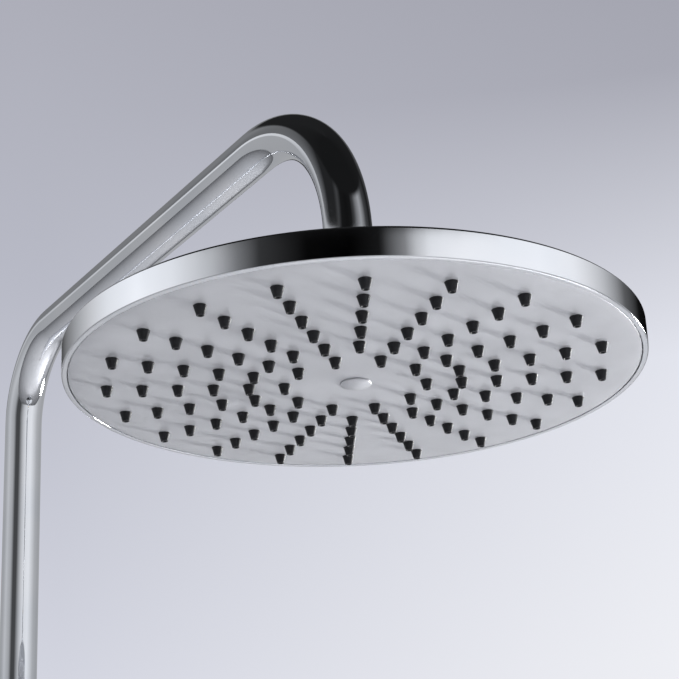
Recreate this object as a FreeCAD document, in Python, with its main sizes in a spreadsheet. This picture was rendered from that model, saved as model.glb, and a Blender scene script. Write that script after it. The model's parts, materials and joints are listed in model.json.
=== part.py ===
import FreeCAD, Part
import Sketcher

import math
import os
import re

# Shower column with an overhead rain head, in millimetres.
# +Z is up, the wall is the plane Y = 0, and -Y points out of the wall.
# The origin is the centre of the wall plate's back face.
# Local frames used below:
#   column frame: on the riser's axis, at the height of the wall bracket
#   head frame:   on the head's axis, at the height of the head's bottom lip
#   ball frame:   on the head's axis, at the centre of the ball joint
#   wall frame:   local Z runs out of the wall, from the origin

SIZES = {
    # the bent tube
    "tube_diameter": 22,
    "tube_wall": 1.2,
    "wall_standoff": 60,        # wall to the riser's axis
    "arm_reach": 375,           # riser's axis to the head's axis
    "arm_level": 320,           # wall bracket up to the arm's axis
    "riser_bend_radius": 50,
    "drop_bend_radius": 78,
    "arm_above_lip": 146,       # head's bottom lip up to the arm's axis
    "riser_foot": 700,          # wall bracket down to the riser's end
    "running_gap": 0.05,        # radial, where a piece turns or slides on another
    "solder_gap": 0.02,         # radial, where two pieces are soldered together
    "seat_gap": 0.3,            # between pieces that pass each other without a fit
    # wall plate, holder and rosette
    "wall_plate_radius": 24,
    "wall_plate_thickness": 4,
    "wall_screw_spacing": 30,
    "wall_screw_hole_radius": 2.6,
    "spigot_radius": 6,
    "spigot_length": 20,
    "spigot_flat_depth": 2,     # the flat under the spigot that the lock screw meets
    "post_radius": 8,
    "ring_radius": 16.5,
    "ring_height": 22,
    "bush_wall": 2,
    "bush_flange_radius": 14.6,
    "bush_flange_thickness": 1,
    "post_screw_from_wall": 14,
    "rosette_radius": 27,
    "rosette_depth": 9,
    "rosette_wall": 1.5,
    "rosette_edge_round": 2.5,
    "rosette_hub_radius": 11,
    "rosette_hub_depth": 4.5,
    "rosette_ring_section": 0.7,
    "grub_radius": 2,
    "grub_socket_flats": 2,
    "grub_socket_depth": 1.4,
    "grub_recess": 0.4,         # below the surface it is screwed into
    # radii of every hexagon's turned face and past its corners, as shares of its flats
    "nut_face_share": 0.49,
    "nut_corner_share": 0.6,
    # sleeve between the two tubes
    "sleeve_top": 40,           # wall bracket down to the sleeve's top
    "sleeve_length": 60,
    "sleeve_radius": 14,
    "sleeve_edge": 1,
    "sleeve_stop_thickness": 3,
    "sleeve_seal_depth": 13,
    "sleeve_seal_spacing": 8,
    "sleeve_seal_section": 0.775,
    "sleeve_groove_width": 2.2,
    "sleeve_screw_depth": 6,
    # inlet at the riser's foot
    "nut_flats": 30,
    "nut_height": 22,
    "nut_thread_radius": 12.0585,
    "nut_thread_length": 9.5,
    "nut_recess_radius": 12.4,
    "nut_recess_length": 7,
    "tail_length": 22,
    "tail_neck_radius": 10,
    "tail_shoulder_length": 3,
    "tail_collar_radius": 11.9,
    "tail_collar_thickness": 4,
    "tail_bore_radius": 7,
    "tail_spigot_length": 15,
    "inlet_washer_radius": 11.6,
    "inlet_washer_thickness": 2,
    # ball joint
    "ball_above_lip": 32,
    "ball_radius": 11,
    "ball_bore_radius": 4,
    "ball_neck_radius": 7,
    "ball_seat_wall": 1.45,
    "ball_seat_below": 5,
    "ball_seat_above": 6,
    "ball_hex_flats": 24,
    "ball_hex_bottom": 14,
    "ball_hex_height": 15,
    "ball_thread_radius": 9.95,
    "ball_thread_depth": 11,
    "ball_seal_radius": 8,
    "ball_seal_section": 1.5,
    "ball_nut_flats": 35,
    "ball_nut_below": 6.4,
    "ball_nut_above": 8.5,
    "ball_nut_mouth_radius": 10.85,
    "filter_washer_thickness": 2,
    "filter_washer_bore": 5,
    "regulator_thickness": 4,
    "regulator_bore": 1.5,
    "nipple_bore_radius": 6.5,
    "nipple_collar_radius": 11.8,
    "nipple_collar_thickness": 2,
    "nipple_spigot_length": 4,
    # hub inside the head
    "hub_neck_radius": 15,
    "hub_flange_radius": 23,
    "hub_flange_thickness": 3,
    "hub_spigot_radius": 12,
    "hub_stem_radius": 4.5,
    "hub_bore_radius": 5,
    "hub_plenum_radius": 9.9,
    "hub_plenum_height": 3,
    "hub_web_thickness": 5.7,
    "hub_water_hole_radius": 1.5,
    "hub_water_hole_circle": 8.2,
    "hub_water_holes": 6,
    "hub_ring_section": 0.7,
    "hub_ring_level": 10,       # above the lip
    "hub_gasket_thickness": 1,
    "lock_nut_flats": 38,
    "lock_nut_height": 5,
    # head shell
    "head_radius": 125,
    "band_height": 13,
    "band_edge": 1,
    "lip_width": 2.4,
    "lip_edge": 0.4,
    "shell_wall": 2.4,
    "shell_top_level": 20,
    "shell_flat_radius": 27,
    # face plate
    "plate_gap": 0.3,
    "plate_recess": 0.3,
    "plate_thickness": 2,
    "plate_crown": 2,
    "crown_radius": 114,
    "plate_land_radius": 7.5,
    # nozzles, on rings and rays
    "ring_count": 6,
    "ray_count": 20,
    "first_ring_radius": 30.5,
    "ring_spacing": 15.17,
    "ray_angle": 5.7,
    "nozzle_base_radius": 2.8,
    "nozzle_tip_radius": 1.75,
    "nozzle_length": 4.8,
    "nozzle_tip_round": 0.35,
    "nozzle_bore_radius": 0.65,
    "nozzle_inlet_radius": 2.2,
    "nozzle_mouth_radius": 1.0,
    "nozzle_mouth_depth": 0.4,
    "nozzle_hole_gap": 0.12,
    "mat_thickness": 1.2,
    # water chamber
    "chamber_ceiling": 6.3,     # above the lip
    "chamber_plate_thickness": 2,
    "chamber_plate_radius": 121.6,
    "chamber_wall_radius": 113.2,
    "chamber_wall_thickness": 2.4,
    "chamber_collar_radius": 15,
    "chamber_collar_height": 6.2,
    "gasket_width": 1.6,
    "boss_circle_radius": 119,
    "boss_radius": 2.7,
    "boss_count": 10,
    "screw_radius": 1,
    "screw_head_radius": 2,
    "screw_head_height": 1.5,
    "screw_reach": 3.5,
    # centre screw and its cap
    "centre_screw_radius": 2,
    "centre_screw_head_radius": 3.4,
    "centre_screw_head_height": 1.7,
    "centre_screw_length": 11,
    "cap_radius": 6.75,
    "cap_height": 2.5,
    "cap_wall": 0.7,
}

# Lengths that follow from the sizes, each as a formula in their names.
DERIVED = {
    "tube_radius": "tube_diameter / 2",
    "tube_bore": "tube_radius - tube_wall",
    "sliding_bore": "tube_radius + running_gap",
    "head_out": "wall_standoff + arm_reach",
    "lip_level": "arm_level - arm_above_lip",
    "ball_level": "lip_level + ball_above_lip",
    # sleeve
    "sleeve_groove_radius": "sliding_bore + 2 * sleeve_seal_section",
    "stop_top": "sleeve_top + (sleeve_length - sleeve_stop_thickness) / 2",
    "stop_bottom": "stop_top + sleeve_stop_thickness",
    "arm_foot": "stop_top - seat_gap",
    # wall bracket
    "ring_bore": "sliding_bore + bush_wall + running_gap",
    "post_end": "wall_plate_thickness + seat_gap",
    "rosette_bore": "post_radius + running_gap",
    "rosette_groove": "rosette_bore + 2 * rosette_ring_section",
    "rosette_front_inside": "rosette_depth - rosette_wall",
    "rosette_hub_bottom": "rosette_front_inside - rosette_hub_depth + rosette_wall",
    "rosette_ring_level": "(rosette_hub_bottom + rosette_depth) / 2",
    "rosette_groove_bottom": "rosette_ring_level - rosette_ring_section",
    "rosette_groove_top": "rosette_ring_level + rosette_ring_section",
    # inlet
    "tail_collar_top": "riser_foot + tail_length - tail_collar_thickness",
    "tail_end": "riser_foot + tail_length",
    "inlet_washer_bottom": "tail_end + inlet_washer_thickness",
    "nut_recess_bottom": "inlet_washer_bottom + seat_gap",
    "nut_ledge": "nut_recess_bottom - nut_recess_length",
    "nut_bottom": "nut_recess_bottom + nut_thread_length",
    "nut_top": "nut_bottom - nut_height",
    # ball joint
    "seat_inner": "ball_radius + running_gap",
    "seat_outer": "ball_radius + ball_seat_wall + running_gap",
    "cup_radius": "seat_outer + 2 * running_gap",
    "ball_end": "sqrt(ball_radius ^ 2 - ball_bore_radius ^ 2)",
    "ball_shoulder": "sqrt(ball_radius ^ 2 - ball_neck_radius ^ 2)",
    "ball_hex_top": "ball_hex_bottom + ball_hex_height",
    "thread_floor": "ball_hex_top - ball_thread_depth",
    "seal_drop": "sqrt((seat_inner + ball_seal_section) ^ 2 - ball_seal_radius ^ 2)",
    "seal_groove": "ball_seal_radius + ball_seal_section + running_gap",
    "seal_seat": "seal_drop + ball_seal_section + running_gap",
    "cup_edge": "sqrt(cup_radius ^ 2 - seal_groove ^ 2)",
    "nipple_bottom": "thread_floor + filter_washer_thickness",
    "collar_bottom": "ball_hex_top + seat_gap",
    "drop_end": "collar_bottom + nipple_collar_thickness",
    # hub, shell and water chamber; the domes' arcs are centred on the head's axis
    "shell_bore": "hub_neck_radius + seat_gap",
    "shell_inside_top": "shell_top_level - shell_wall",
    "band_inside": "head_radius - lip_width",
    "flange_top": "shell_inside_top - hub_gasket_thickness",
    "flange_bottom": "flange_top - hub_flange_thickness",
    "plenum_bottom": "chamber_ceiling + hub_web_thickness",
    "collar_bore": "hub_spigot_radius + 2 * running_gap",
    "hub_groove_radius": "collar_bore - 2 * hub_ring_section",
    "hub_groove_half": "hub_ring_section + running_gap",
    "cover_drop": "shell_top_level - band_height",
    "cover_edge": "head_radius - band_edge",
    "cover_centre": "(cover_edge ^ 2 - shell_flat_radius ^ 2 + cover_drop ^ 2) / (2 * cover_drop)",
    "cover_curve": "sqrt(cover_centre ^ 2 + shell_flat_radius ^ 2)",
    "ceiling_centre": "(band_inside ^ 2 - shell_flat_radius ^ 2 + cover_drop ^ 2) / (2 * cover_drop)",
    "ceiling_curve": "sqrt(ceiling_centre ^ 2 + shell_flat_radius ^ 2)",
    "chamber_top": "chamber_ceiling + chamber_plate_thickness",
    # face plate and mat, crowned downwards round the head's axis
    "plate_radius": "band_inside - plate_gap",
    "plate_top": "plate_recess + plate_thickness",
    "mat_top": "plate_top + mat_thickness",
    "crown_centre": "(crown_radius ^ 2 - plate_land_radius ^ 2 + plate_crown ^ 2) / (2 * plate_crown)",
    "crown_curve": "sqrt(crown_centre ^ 2 + plate_land_radius ^ 2)",
    "land_bottom": "plate_recess - plate_crown",
    "land_top": "plate_top - plate_crown",
    "mat_land_top": "mat_top - plate_crown",
    # centre screw and its cap
    "centre_hole_radius": "centre_screw_radius + seat_gap / 2",
    "centre_screw_top": "land_bottom + centre_screw_length",
    "cap_curve": "(cap_radius ^ 2 + (cap_height - cap_wall) ^ 2) / (2 * (cap_height - cap_wall))",
    "cap_hollow": "land_bottom - cap_height + cap_wall",
}

OUT_OF_WALL = FreeCAD.Rotation(FreeCAD.Vector(1, 0, 0), 90)
INTO_WALL = FreeCAD.Rotation(FreeCAD.Vector(1, 0, 0), -90)
DOWNWARDS = FreeCAD.Rotation(FreeCAD.Vector(1, 0, 0), 180)

# The screw bosses stand midway between two rays of nozzles.
BOSS_ANGLE = "(ray_angle + 180 / ray_count)"

document = FreeCAD.newDocument("ShowerColumn")
sheet = document.addObject("Spreadsheet::Sheet", "Sizes")
for row, (alias, number) in enumerate(SIZES.items(), start=1):
    sheet.set(f"A{row}", alias)
    sheet.set(f"B{row}", str(number))
    sheet.setAlias(f"B{row}", alias)
document.recompute()

nodes = []


def formula(text):
    """Rewrites a formula in size names so that it reads the sheet's cells."""

    def cell(match):
        word = match.group(0)
        if word in DERIVED:
            return "(" + formula(DERIVED[word]) + ")"
        if word in SIZES:
            return "Sizes." + word
        return word

    return re.sub(r"[a-z_]+", cell, str(text))


def value(text):
    """The number that a formula gives now, used to draw a sketch near its final shape."""
    return float(sheet.evalExpression(formula(text)))


def bind(item, path, text):
    item.setExpression(path, formula(text))


# ---------------------------------------------------------------- bodies and sketches


def new_body(name, x="0", y="0", z="0", turn=None):
    """A body whose local origin lies at (x, y, z); turn is its rotation, if it has one."""
    body = document.addObject("PartDesign::Body", name)
    body.Label = name
    body.AllowCompound = True
    if turn:
        body.Placement = FreeCAD.Placement(FreeCAD.Vector(), turn)
    for axis, text in zip("xyz", (x, y, z)):
        bind(body, f"Placement.Base.{axis}", text)
    nodes.append(body)
    return body


def column_body(name):
    return new_body(name, y="-wall_standoff")


def head_body(name):
    return new_body(name, y="-head_out", z="lip_level")


def ball_body(name):
    return new_body(name, y="-head_out", z="ball_level")


def wall_body(name):
    return new_body(name, turn=OUT_OF_WALL)


def origin_item(body, role):
    return next(item for item in body.Origin.OriginFeatures if item.Role == role)


def new_sketch(body, plane, lift="0"):
    """A sketch on one of the body's origin planes, lifted along the plane's normal."""
    sketch = body.newObject("Sketcher::SketchObject", f"{body.Name}_sketch")
    sketch.AttachmentSupport = [(origin_item(body, plane), "")]
    sketch.MapMode = "FlatFace"
    bind(sketch, "AttachmentOffset.Base.z", lift)
    return sketch


def constrain(sketch, *arguments, text=None):
    index = sketch.addConstraint(Sketcher.Constraint(*arguments))
    if text is not None:
        bind(sketch, f"Constraints[{index}]", text)


def fix_point(sketch, edge, end, x, y):
    constrain(sketch, "DistanceX", -1, 1, edge, end, value(x), text=x)
    constrain(sketch, "DistanceY", -1, 1, edge, end, value(y), text=y)


def end_at(sketch, edge, point):
    """Which end of an edge, 1 or 2, lies at the point."""
    first = (sketch.getPoint(edge, 1) - point).Length
    second = (sketch.getPoint(edge, 2) - point).Length
    return 1 if first < second else 2


def arc_between(start, end, radius):
    """The short arc between two points; it bulges to the left of the way from start to end,
    or to the right if the radius is negative."""
    middle = (start + end) / 2
    chord = end - start
    sideways = FreeCAD.Vector(-chord.y, chord.x, 0).normalize()
    half = chord.Length / 2
    rise = abs(radius) - (radius ** 2 - half ** 2) ** 0.5
    if radius < 0:
        rise = -rise
    return Part.Arc(start, middle + sideways * rise, end)


def draw(sketch, corners, closed=True):
    """Draws an outline. A corner is (x, y), or (x, y, radius) where an arc runs to the next one."""
    points = [FreeCAD.Vector(value(corner[0]), value(corner[1]), 0) for corner in corners]
    last = len(points) if closed else len(points) - 1
    edges = []
    for index in range(last):
        start = points[index]
        end = points[(index + 1) % len(points)]
        if len(corners[index]) == 3:
            shape = arc_between(start, end, value(corners[index][2]))
        else:
            shape = Part.LineSegment(start, end)
        edge = sketch.addGeometry(shape, False)
        edges.append((edge, end_at(sketch, edge, start), end_at(sketch, edge, end)))
    for index, (edge, start, end) in enumerate(edges):
        fix_point(sketch, edge, start, corners[index][0], corners[index][1])
        if len(corners[index]) == 3:
            radius = corners[index][2].lstrip("-")
            constrain(sketch, "Radius", edge, value(radius), text=radius)
        if closed or index + 1 < last:
            following = edges[(index + 1) % len(edges)]
            constrain(sketch, "Coincident", edge, end, following[0], following[1])
        else:
            fix_point(sketch, edge, end, corners[-1][0], corners[-1][1])
    return sketch


def draw_circle(sketch, x, y, radius):
    centre = FreeCAD.Vector(value(x), value(y), 0)
    edge = sketch.addGeometry(Part.Circle(centre, FreeCAD.Vector(0, 0, 1), value(radius)), False)
    fix_point(sketch, edge, 3, x, y)
    constrain(sketch, "Radius", edge, value(radius), text=radius)
    return sketch


def hexagon(flats):
    """The six corners of a hexagon, measured across its flats."""
    return [
        (f"{flats} / sqrt(3) * cos(60 deg * {side})", f"{flats} / sqrt(3) * sin(60 deg * {side})")
        for side in range(6)
    ]


# ---------------------------------------------------------------- features


def revolved(body, sketch, cut=False):
    """Turns a sketch through a full circle round its own upright axis."""
    kind = "PartDesign::Groove" if cut else "PartDesign::Revolution"
    feature = body.newObject(kind, f"{body.Name}_turned")
    feature.Profile = sketch
    feature.ReferenceAxis = (sketch, ["V_Axis"])
    feature.Angle = 360
    return feature


def turned(body, corners, cut=False):
    """Turns an outline of (radius, height) corners round the body's Z axis."""
    sketch = draw(new_sketch(body, "XZ_Plane"), corners)
    return revolved(body, sketch, cut)


def padded(body, sketch, length, backwards=False):
    feature = body.newObject("PartDesign::Pad", f"{body.Name}_pad")
    feature.Profile = sketch
    feature.Reversed = backwards
    bind(feature, "Length", length)
    return feature


def pocketed(body, sketch, length, backwards=False):
    """Cuts a sketch's outline out of the body, and makes sure that it cut something."""
    document.recompute()
    before = body.Shape.Volume
    feature = body.newObject("PartDesign::Pocket", f"{body.Name}_pocket")
    feature.Profile = sketch
    feature.Reversed = backwards
    bind(feature, "Length", length)
    document.recompute()
    if not body.Shape.Volume < before:
        raise RuntimeError(f"a pocket of {body.Name} cuts nothing")
    return feature


def repeated(body, features, count):
    """Repeats features evenly round the body's Z axis."""
    pattern = body.newObject("PartDesign::PolarPattern", f"{body.Name}_pattern")
    pattern.Originals = features
    pattern.Axis = (origin_item(body, "Z_Axis"), [""])
    pattern.Angle = 360
    bind(pattern, "Occurrences", count)
    body.Tip = pattern
    return pattern


def ring(body, inner, outer, bottom, top):
    """A plain ring with a square section."""
    return turned(body, [(inner, bottom), (outer, bottom), (outer, top), (inner, top)])


def hex_nut(body, flats, bottom, top):
    """A hexagonal blank with its corners turned off at both ends."""
    sketch = draw(new_sketch(body, "XY_Plane", bottom), hexagon(flats))
    padded(body, sketch, f"{top} - ({bottom})")
    face = f"{flats} * nut_face_share"
    corner = f"{flats} * nut_corner_share"
    for end, inwards in ((top, "-"), (bottom, "+")):
        outline = [
            (face, end),
            (corner, end),
            (corner, f"{end} {inwards} ({corner} - {face}) / 2"),
        ]
        turned(body, outline, cut=True)


def grub_screw(name, length, x, y, z, turn):
    """A set screw with its socket end at (x, y, z), reaching back along local -Z."""
    body = new_body(name, x, y, z, turn)
    sketch = draw_circle(new_sketch(body, "XY_Plane", f"-({length})"), "0", "0", "grub_radius")
    padded(body, sketch, length)
    socket = draw(new_sketch(body, "XY_Plane"), hexagon("grub_socket_flats"))
    pocketed(body, socket, "grub_socket_depth")
    return body


def torus(name, radius, section, x, y, z, turn=None):
    seal = document.addObject("Part::Torus", name)
    seal.Label = name
    if turn:
        seal.Placement = FreeCAD.Placement(FreeCAD.Vector(), turn)
    bind(seal, "Radius1", radius)
    bind(seal, "Radius2", section)
    for axis, text in zip("xyz", (x, y, z)):
        bind(seal, f"Placement.Base.{axis}", text)
    return seal


# ---------------------------------------------------------------- wall bracket


def make_wall_plate():
    body = wall_body("wall_plate")
    turned(body, [
        ("0", "0"),
        ("wall_plate_radius", "0"),
        ("wall_plate_radius", "wall_plate_thickness"),
        ("spigot_radius", "wall_plate_thickness"),
        ("spigot_radius", "wall_plate_thickness + spigot_length"),
        ("0", "wall_plate_thickness + spigot_length"),
    ])
    holes = new_sketch(body, "XY_Plane")
    for side in ("-", ""):
        draw_circle(holes, f"{side}wall_screw_spacing / 2", "0", "wall_screw_hole_radius")
    pocketed(body, holes, "wall_plate_thickness", backwards=True)
    flat = draw(new_sketch(body, "XY_Plane", "wall_plate_thickness"), [
        ("-spigot_radius", "-spigot_radius"),
        ("spigot_radius", "-spigot_radius"),
        ("spigot_radius", "spigot_flat_depth - spigot_radius"),
        ("-spigot_radius", "spigot_flat_depth - spigot_radius"),
    ])
    pocketed(body, flat, "spigot_length", backwards=True)


def make_bracket_holder():
    """The ring round the riser and the post that carries it, in one casting."""
    body = column_body("bracket_holder")
    turned(body, [
        ("0", "-ring_height / 2"),
        ("ring_radius - sleeve_edge", "-ring_height / 2"),
        ("ring_radius", "sleeve_edge - ring_height / 2"),
        ("ring_radius", "ring_height / 2 - sleeve_edge"),
        ("ring_radius - sleeve_edge", "ring_height / 2"),
        ("0", "ring_height / 2"),
    ])
    post = draw_circle(new_sketch(body, "XZ_Plane"), "0", "0", "post_radius")
    padded(body, post, "wall_standoff - post_end", backwards=True)
    turned(body, [
        ("0", "-ring_height"),
        ("ring_bore", "-ring_height"),
        ("ring_bore", "ring_height"),
        ("0", "ring_height"),
    ], cut=True)
    socket = draw_circle(new_sketch(body, "XZ_Plane", "post_end - wall_standoff"), "0", "0",
                         "spigot_radius + running_gap")
    pocketed(body, socket, "spigot_length", backwards=True)
    screw_hole = draw_circle(new_sketch(body, "XY_Plane"), "0",
                             "wall_standoff - post_screw_from_wall", "grub_radius + running_gap")
    pocketed(body, screw_hole, "2 * post_radius")
    clamp_hole = draw_circle(new_sketch(body, "XZ_Plane"), "0", "0", "grub_radius + running_gap")
    pocketed(body, clamp_hole, "2 * ring_radius", backwards=True)


def make_bracket_bush():
    body = column_body("bracket_bush")
    turned(body, [
        ("sliding_bore", "-ring_height / 2 - bush_flange_thickness"),
        ("bush_flange_radius", "-ring_height / 2 - bush_flange_thickness"),
        ("bush_flange_radius", "-ring_height / 2"),
        ("sliding_bore + bush_wall", "-ring_height / 2"),
        ("sliding_bore + bush_wall", "ring_height / 2"),
        ("bush_flange_radius", "ring_height / 2"),
        ("bush_flange_radius", "ring_height / 2 + bush_flange_thickness"),
        ("sliding_bore", "ring_height / 2 + bush_flange_thickness"),
    ])


def make_bracket_screws():
    """One set screw locks the post on its spigot, the other holds the bush in the ring."""
    grub_screw(
        "post_lock_screw", "post_radius - spigot_radius + spigot_flat_depth - grub_recess - running_gap",
        "0", "-post_screw_from_wall", "grub_recess - post_radius", DOWNWARDS)
    grub_screw(
        "bush_lock_screw", "ring_radius - ring_bore - grub_recess",
        "0", "grub_recess - wall_standoff - ring_radius", "0", OUT_OF_WALL)


def make_rosette():
    """The cover that slides along the post and hides the wall plate and its screws."""
    body = wall_body("rosette")
    turned(body, [
        ("rosette_radius - rosette_wall", "seat_gap"),
        ("rosette_radius", "seat_gap"),
        ("rosette_radius", "rosette_depth - rosette_edge_round", "-rosette_edge_round"),
        ("rosette_radius - rosette_edge_round", "rosette_depth"),
        ("rosette_bore", "rosette_depth"),
        ("rosette_bore", "rosette_groove_top"),
        ("rosette_groove", "rosette_groove_top"),
        ("rosette_groove", "rosette_groove_bottom"),
        ("rosette_bore", "rosette_groove_bottom"),
        ("rosette_bore", "rosette_hub_bottom"),
        ("rosette_hub_radius", "rosette_hub_bottom"),
        ("rosette_hub_radius", "rosette_front_inside"),
        ("rosette_radius - rosette_wall", "rosette_front_inside"),
    ])
    nodes.append(torus("rosette_ring", "rosette_bore + rosette_ring_section", "rosette_ring_section",
                       "0", "-rosette_ring_level", "0", OUT_OF_WALL))


# ---------------------------------------------------------------- tubes and sleeve


def make_riser_tube():
    body = column_body("riser_tube")
    ring(body, "tube_bore", "tube_radius", "-riser_foot", "-stop_bottom")


def make_sleeve():
    body = column_body("joint_sleeve")
    corners = [
        ("tube_radius + solder_gap", "-sleeve_top - sleeve_length"),
        ("sleeve_radius - sleeve_edge", "-sleeve_top - sleeve_length"),
        ("sleeve_radius", "sleeve_edge - sleeve_top - sleeve_length"),
        ("sleeve_radius", "-sleeve_edge - sleeve_top"),
        ("sleeve_radius - sleeve_edge", "-sleeve_top"),
        ("sliding_bore", "-sleeve_top"),
    ]
    for level in seal_levels():
        corners += [
            ("sliding_bore", f"{level} + sleeve_groove_width / 2"),
            ("sleeve_groove_radius", f"{level} + sleeve_groove_width / 2"),
            ("sleeve_groove_radius", f"{level} - sleeve_groove_width / 2"),
            ("sliding_bore", f"{level} - sleeve_groove_width / 2"),
        ]
    corners += [
        ("sliding_bore", "-stop_top"),
        ("tube_bore", "-stop_top"),
        ("tube_bore", "-stop_bottom"),
        ("tube_radius + solder_gap", "-stop_bottom"),
    ]
    turned(body, corners)
    hole = draw_circle(new_sketch(body, "XZ_Plane"), "0", "-sleeve_top - sleeve_screw_depth",
                       "grub_radius + running_gap")
    pocketed(body, hole, "2 * sleeve_radius")
    grub_screw(
        "sleeve_lock_screw", "sleeve_radius - tube_radius - grub_recess - seat_gap",
        "0", "sleeve_radius - grub_recess - wall_standoff", "-sleeve_top - sleeve_screw_depth", INTO_WALL)


def seal_levels():
    first = "-sleeve_top - sleeve_seal_depth"
    return [first, f"{first} - sleeve_seal_spacing"]


def make_sleeve_rings():
    seals = [
        torus(f"sleeve_ring_{number}", "sliding_bore + sleeve_seal_section", "sleeve_seal_section",
              "0", "-wall_standoff", level)
        for number, level in enumerate(seal_levels(), start=1)
    ]
    pair = document.addObject("Part::Compound", "sleeve_rings")
    pair.Label = "sleeve_rings"
    pair.Links = seals
    nodes.append(pair)


def make_arm_tube():
    """Riser, arm and drop in one bent tube, swept along its centre line."""
    body = column_body("arm_tube")
    path = draw(new_sketch(body, "YZ_Plane"), [
        ("0", "-arm_foot"),
        ("0", "arm_level - riser_bend_radius", "-riser_bend_radius"),
        ("-riser_bend_radius", "arm_level"),
        ("drop_bend_radius - arm_reach", "arm_level", "-drop_bend_radius"),
        ("-arm_reach", "arm_level - drop_bend_radius"),
        ("-arm_reach", "ball_level + drop_end"),
    ], closed=False)
    section = new_sketch(body, "XY_Plane", "-arm_foot")
    draw_circle(section, "0", "0", "tube_radius")
    draw_circle(section, "0", "0", "tube_bore")
    sweep = body.newObject("PartDesign::AdditivePipe", "arm_sweep")
    sweep.Profile = section
    sweep.Spine = path
    document.recompute()
    area = math.pi * (value("tube_radius") ** 2 - value("tube_bore") ** 2)
    expected = area * path.Shape.Length
    if abs(body.Shape.Volume - expected) > 0.001 * expected:
        raise RuntimeError("the arm tube's volume isn't its section times its length")


# ---------------------------------------------------------------- inlet


def make_inlet():
    tail = column_body("inlet_tail")
    turned(tail, [
        ("tail_bore_radius", "-tail_end"),
        ("tail_collar_radius", "-tail_end"),
        ("tail_collar_radius", "-tail_collar_top"),
        ("tail_neck_radius", "-tail_collar_top"),
        ("tail_neck_radius", "-tail_shoulder_length - riser_foot"),
        ("tube_radius", "-tail_shoulder_length - riser_foot"),
        ("tube_radius", "-riser_foot"),
        ("tube_bore - solder_gap", "-riser_foot"),
        ("tube_bore - solder_gap", "tail_spigot_length - riser_foot"),
        ("tail_bore_radius", "tail_spigot_length - riser_foot"),
    ])
    washer = column_body("inlet_washer")
    ring(washer, "tail_bore_radius", "inlet_washer_radius", "-inlet_washer_bottom", "-tail_end")
    nut = column_body("union_nut")
    hex_nut(nut, "nut_flats", "-nut_bottom", "-nut_top")
    turned(nut, [
        ("0", "-nut_bottom"),
        ("nut_thread_radius", "-nut_bottom"),
        ("nut_thread_radius", "-nut_recess_bottom"),
        ("nut_recess_radius", "-nut_recess_bottom"),
        ("nut_recess_radius", "-nut_ledge"),
        ("tail_neck_radius + seat_gap", "-nut_ledge"),
        ("tail_neck_radius + seat_gap", "-nut_top"),
        ("0", "-nut_top"),
    ], cut=True)


# ---------------------------------------------------------------- ball joint


def make_swivel_ball():
    body = ball_body("swivel_ball")
    turned(body, [
        ("0", "-ball_end"),
        ("ball_bore_radius", "-ball_end", "-ball_radius"),
        ("ball_neck_radius", "ball_shoulder"),
        ("ball_neck_radius", "ball_hex_bottom"),
        ("0", "ball_hex_bottom"),
    ])
    hex_nut(body, "ball_hex_flats", "ball_hex_bottom", "ball_hex_top")
    turned(body, [
        ("0", "-ball_radius"),
        ("ball_bore_radius", "-ball_radius"),
        ("ball_bore_radius", "thread_floor"),
        ("ball_thread_radius", "thread_floor"),
        ("ball_thread_radius", "ball_hex_top"),
        ("0", "ball_hex_top"),
    ], cut=True)


def make_arm_end():
    """What sits between the arm's end and the ball: nipple, filter washer and flow regulator."""
    nipple = ball_body("arm_nipple")
    turned(nipple, [
        ("nipple_bore_radius", "nipple_bottom"),
        ("ball_thread_radius - running_gap", "nipple_bottom"),
        ("ball_thread_radius - running_gap", "collar_bottom"),
        ("nipple_collar_radius", "collar_bottom"),
        ("nipple_collar_radius", "drop_end"),
        ("tube_bore - solder_gap", "drop_end"),
        ("tube_bore - solder_gap", "drop_end + nipple_spigot_length"),
        ("nipple_bore_radius", "drop_end + nipple_spigot_length"),
    ])
    washer = ball_body("filter_washer")
    ring(washer, "filter_washer_bore", "ball_thread_radius - running_gap",
         "thread_floor", "nipple_bottom")
    regulator = ball_body("flow_regulator")
    ring(regulator, "regulator_bore", "nipple_bore_radius - running_gap", "nipple_bottom",
         "nipple_bottom + regulator_thickness")


def make_ball_seat():
    """The plastic ring that the ball turns in, held between the hub and the ball nut."""

    def reach(radius, height):
        return f"sqrt({radius} ^ 2 - {height} ^ 2)"

    body = ball_body("ball_seat")
    turned(body, [
        (reach("seat_inner", "ball_seat_below"), "-ball_seat_below"),
        (reach("seat_outer", "ball_seat_below"), "-ball_seat_below", "-seat_outer"),
        (reach("seat_outer", "ball_seat_above"), "ball_seat_above"),
        (reach("seat_inner", "ball_seat_above"), "ball_seat_above", "seat_inner"),
    ])


def make_ball_nut():
    body = ball_body("ball_nut")
    hex_nut(body, "ball_nut_flats", "-ball_nut_below", "ball_nut_above")
    turned(body, [
        ("0", "-ball_nut_below"),
        ("hub_neck_radius + running_gap", "-ball_nut_below"),
        ("hub_neck_radius + running_gap", "seat_gap"),
        ("sqrt(cup_radius ^ 2 - seat_gap ^ 2)", "seat_gap", "-cup_radius"),
        ("ball_nut_mouth_radius", "sqrt(cup_radius ^ 2 - ball_nut_mouth_radius ^ 2)"),
        ("ball_nut_mouth_radius", "ball_nut_above"),
        ("0", "ball_nut_above"),
    ], cut=True)
    nodes.append(torus("ball_seal", "ball_seal_radius", "ball_seal_section",
                       "0", "-head_out", "ball_level - seal_drop"))


# ---------------------------------------------------------------- head


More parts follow.
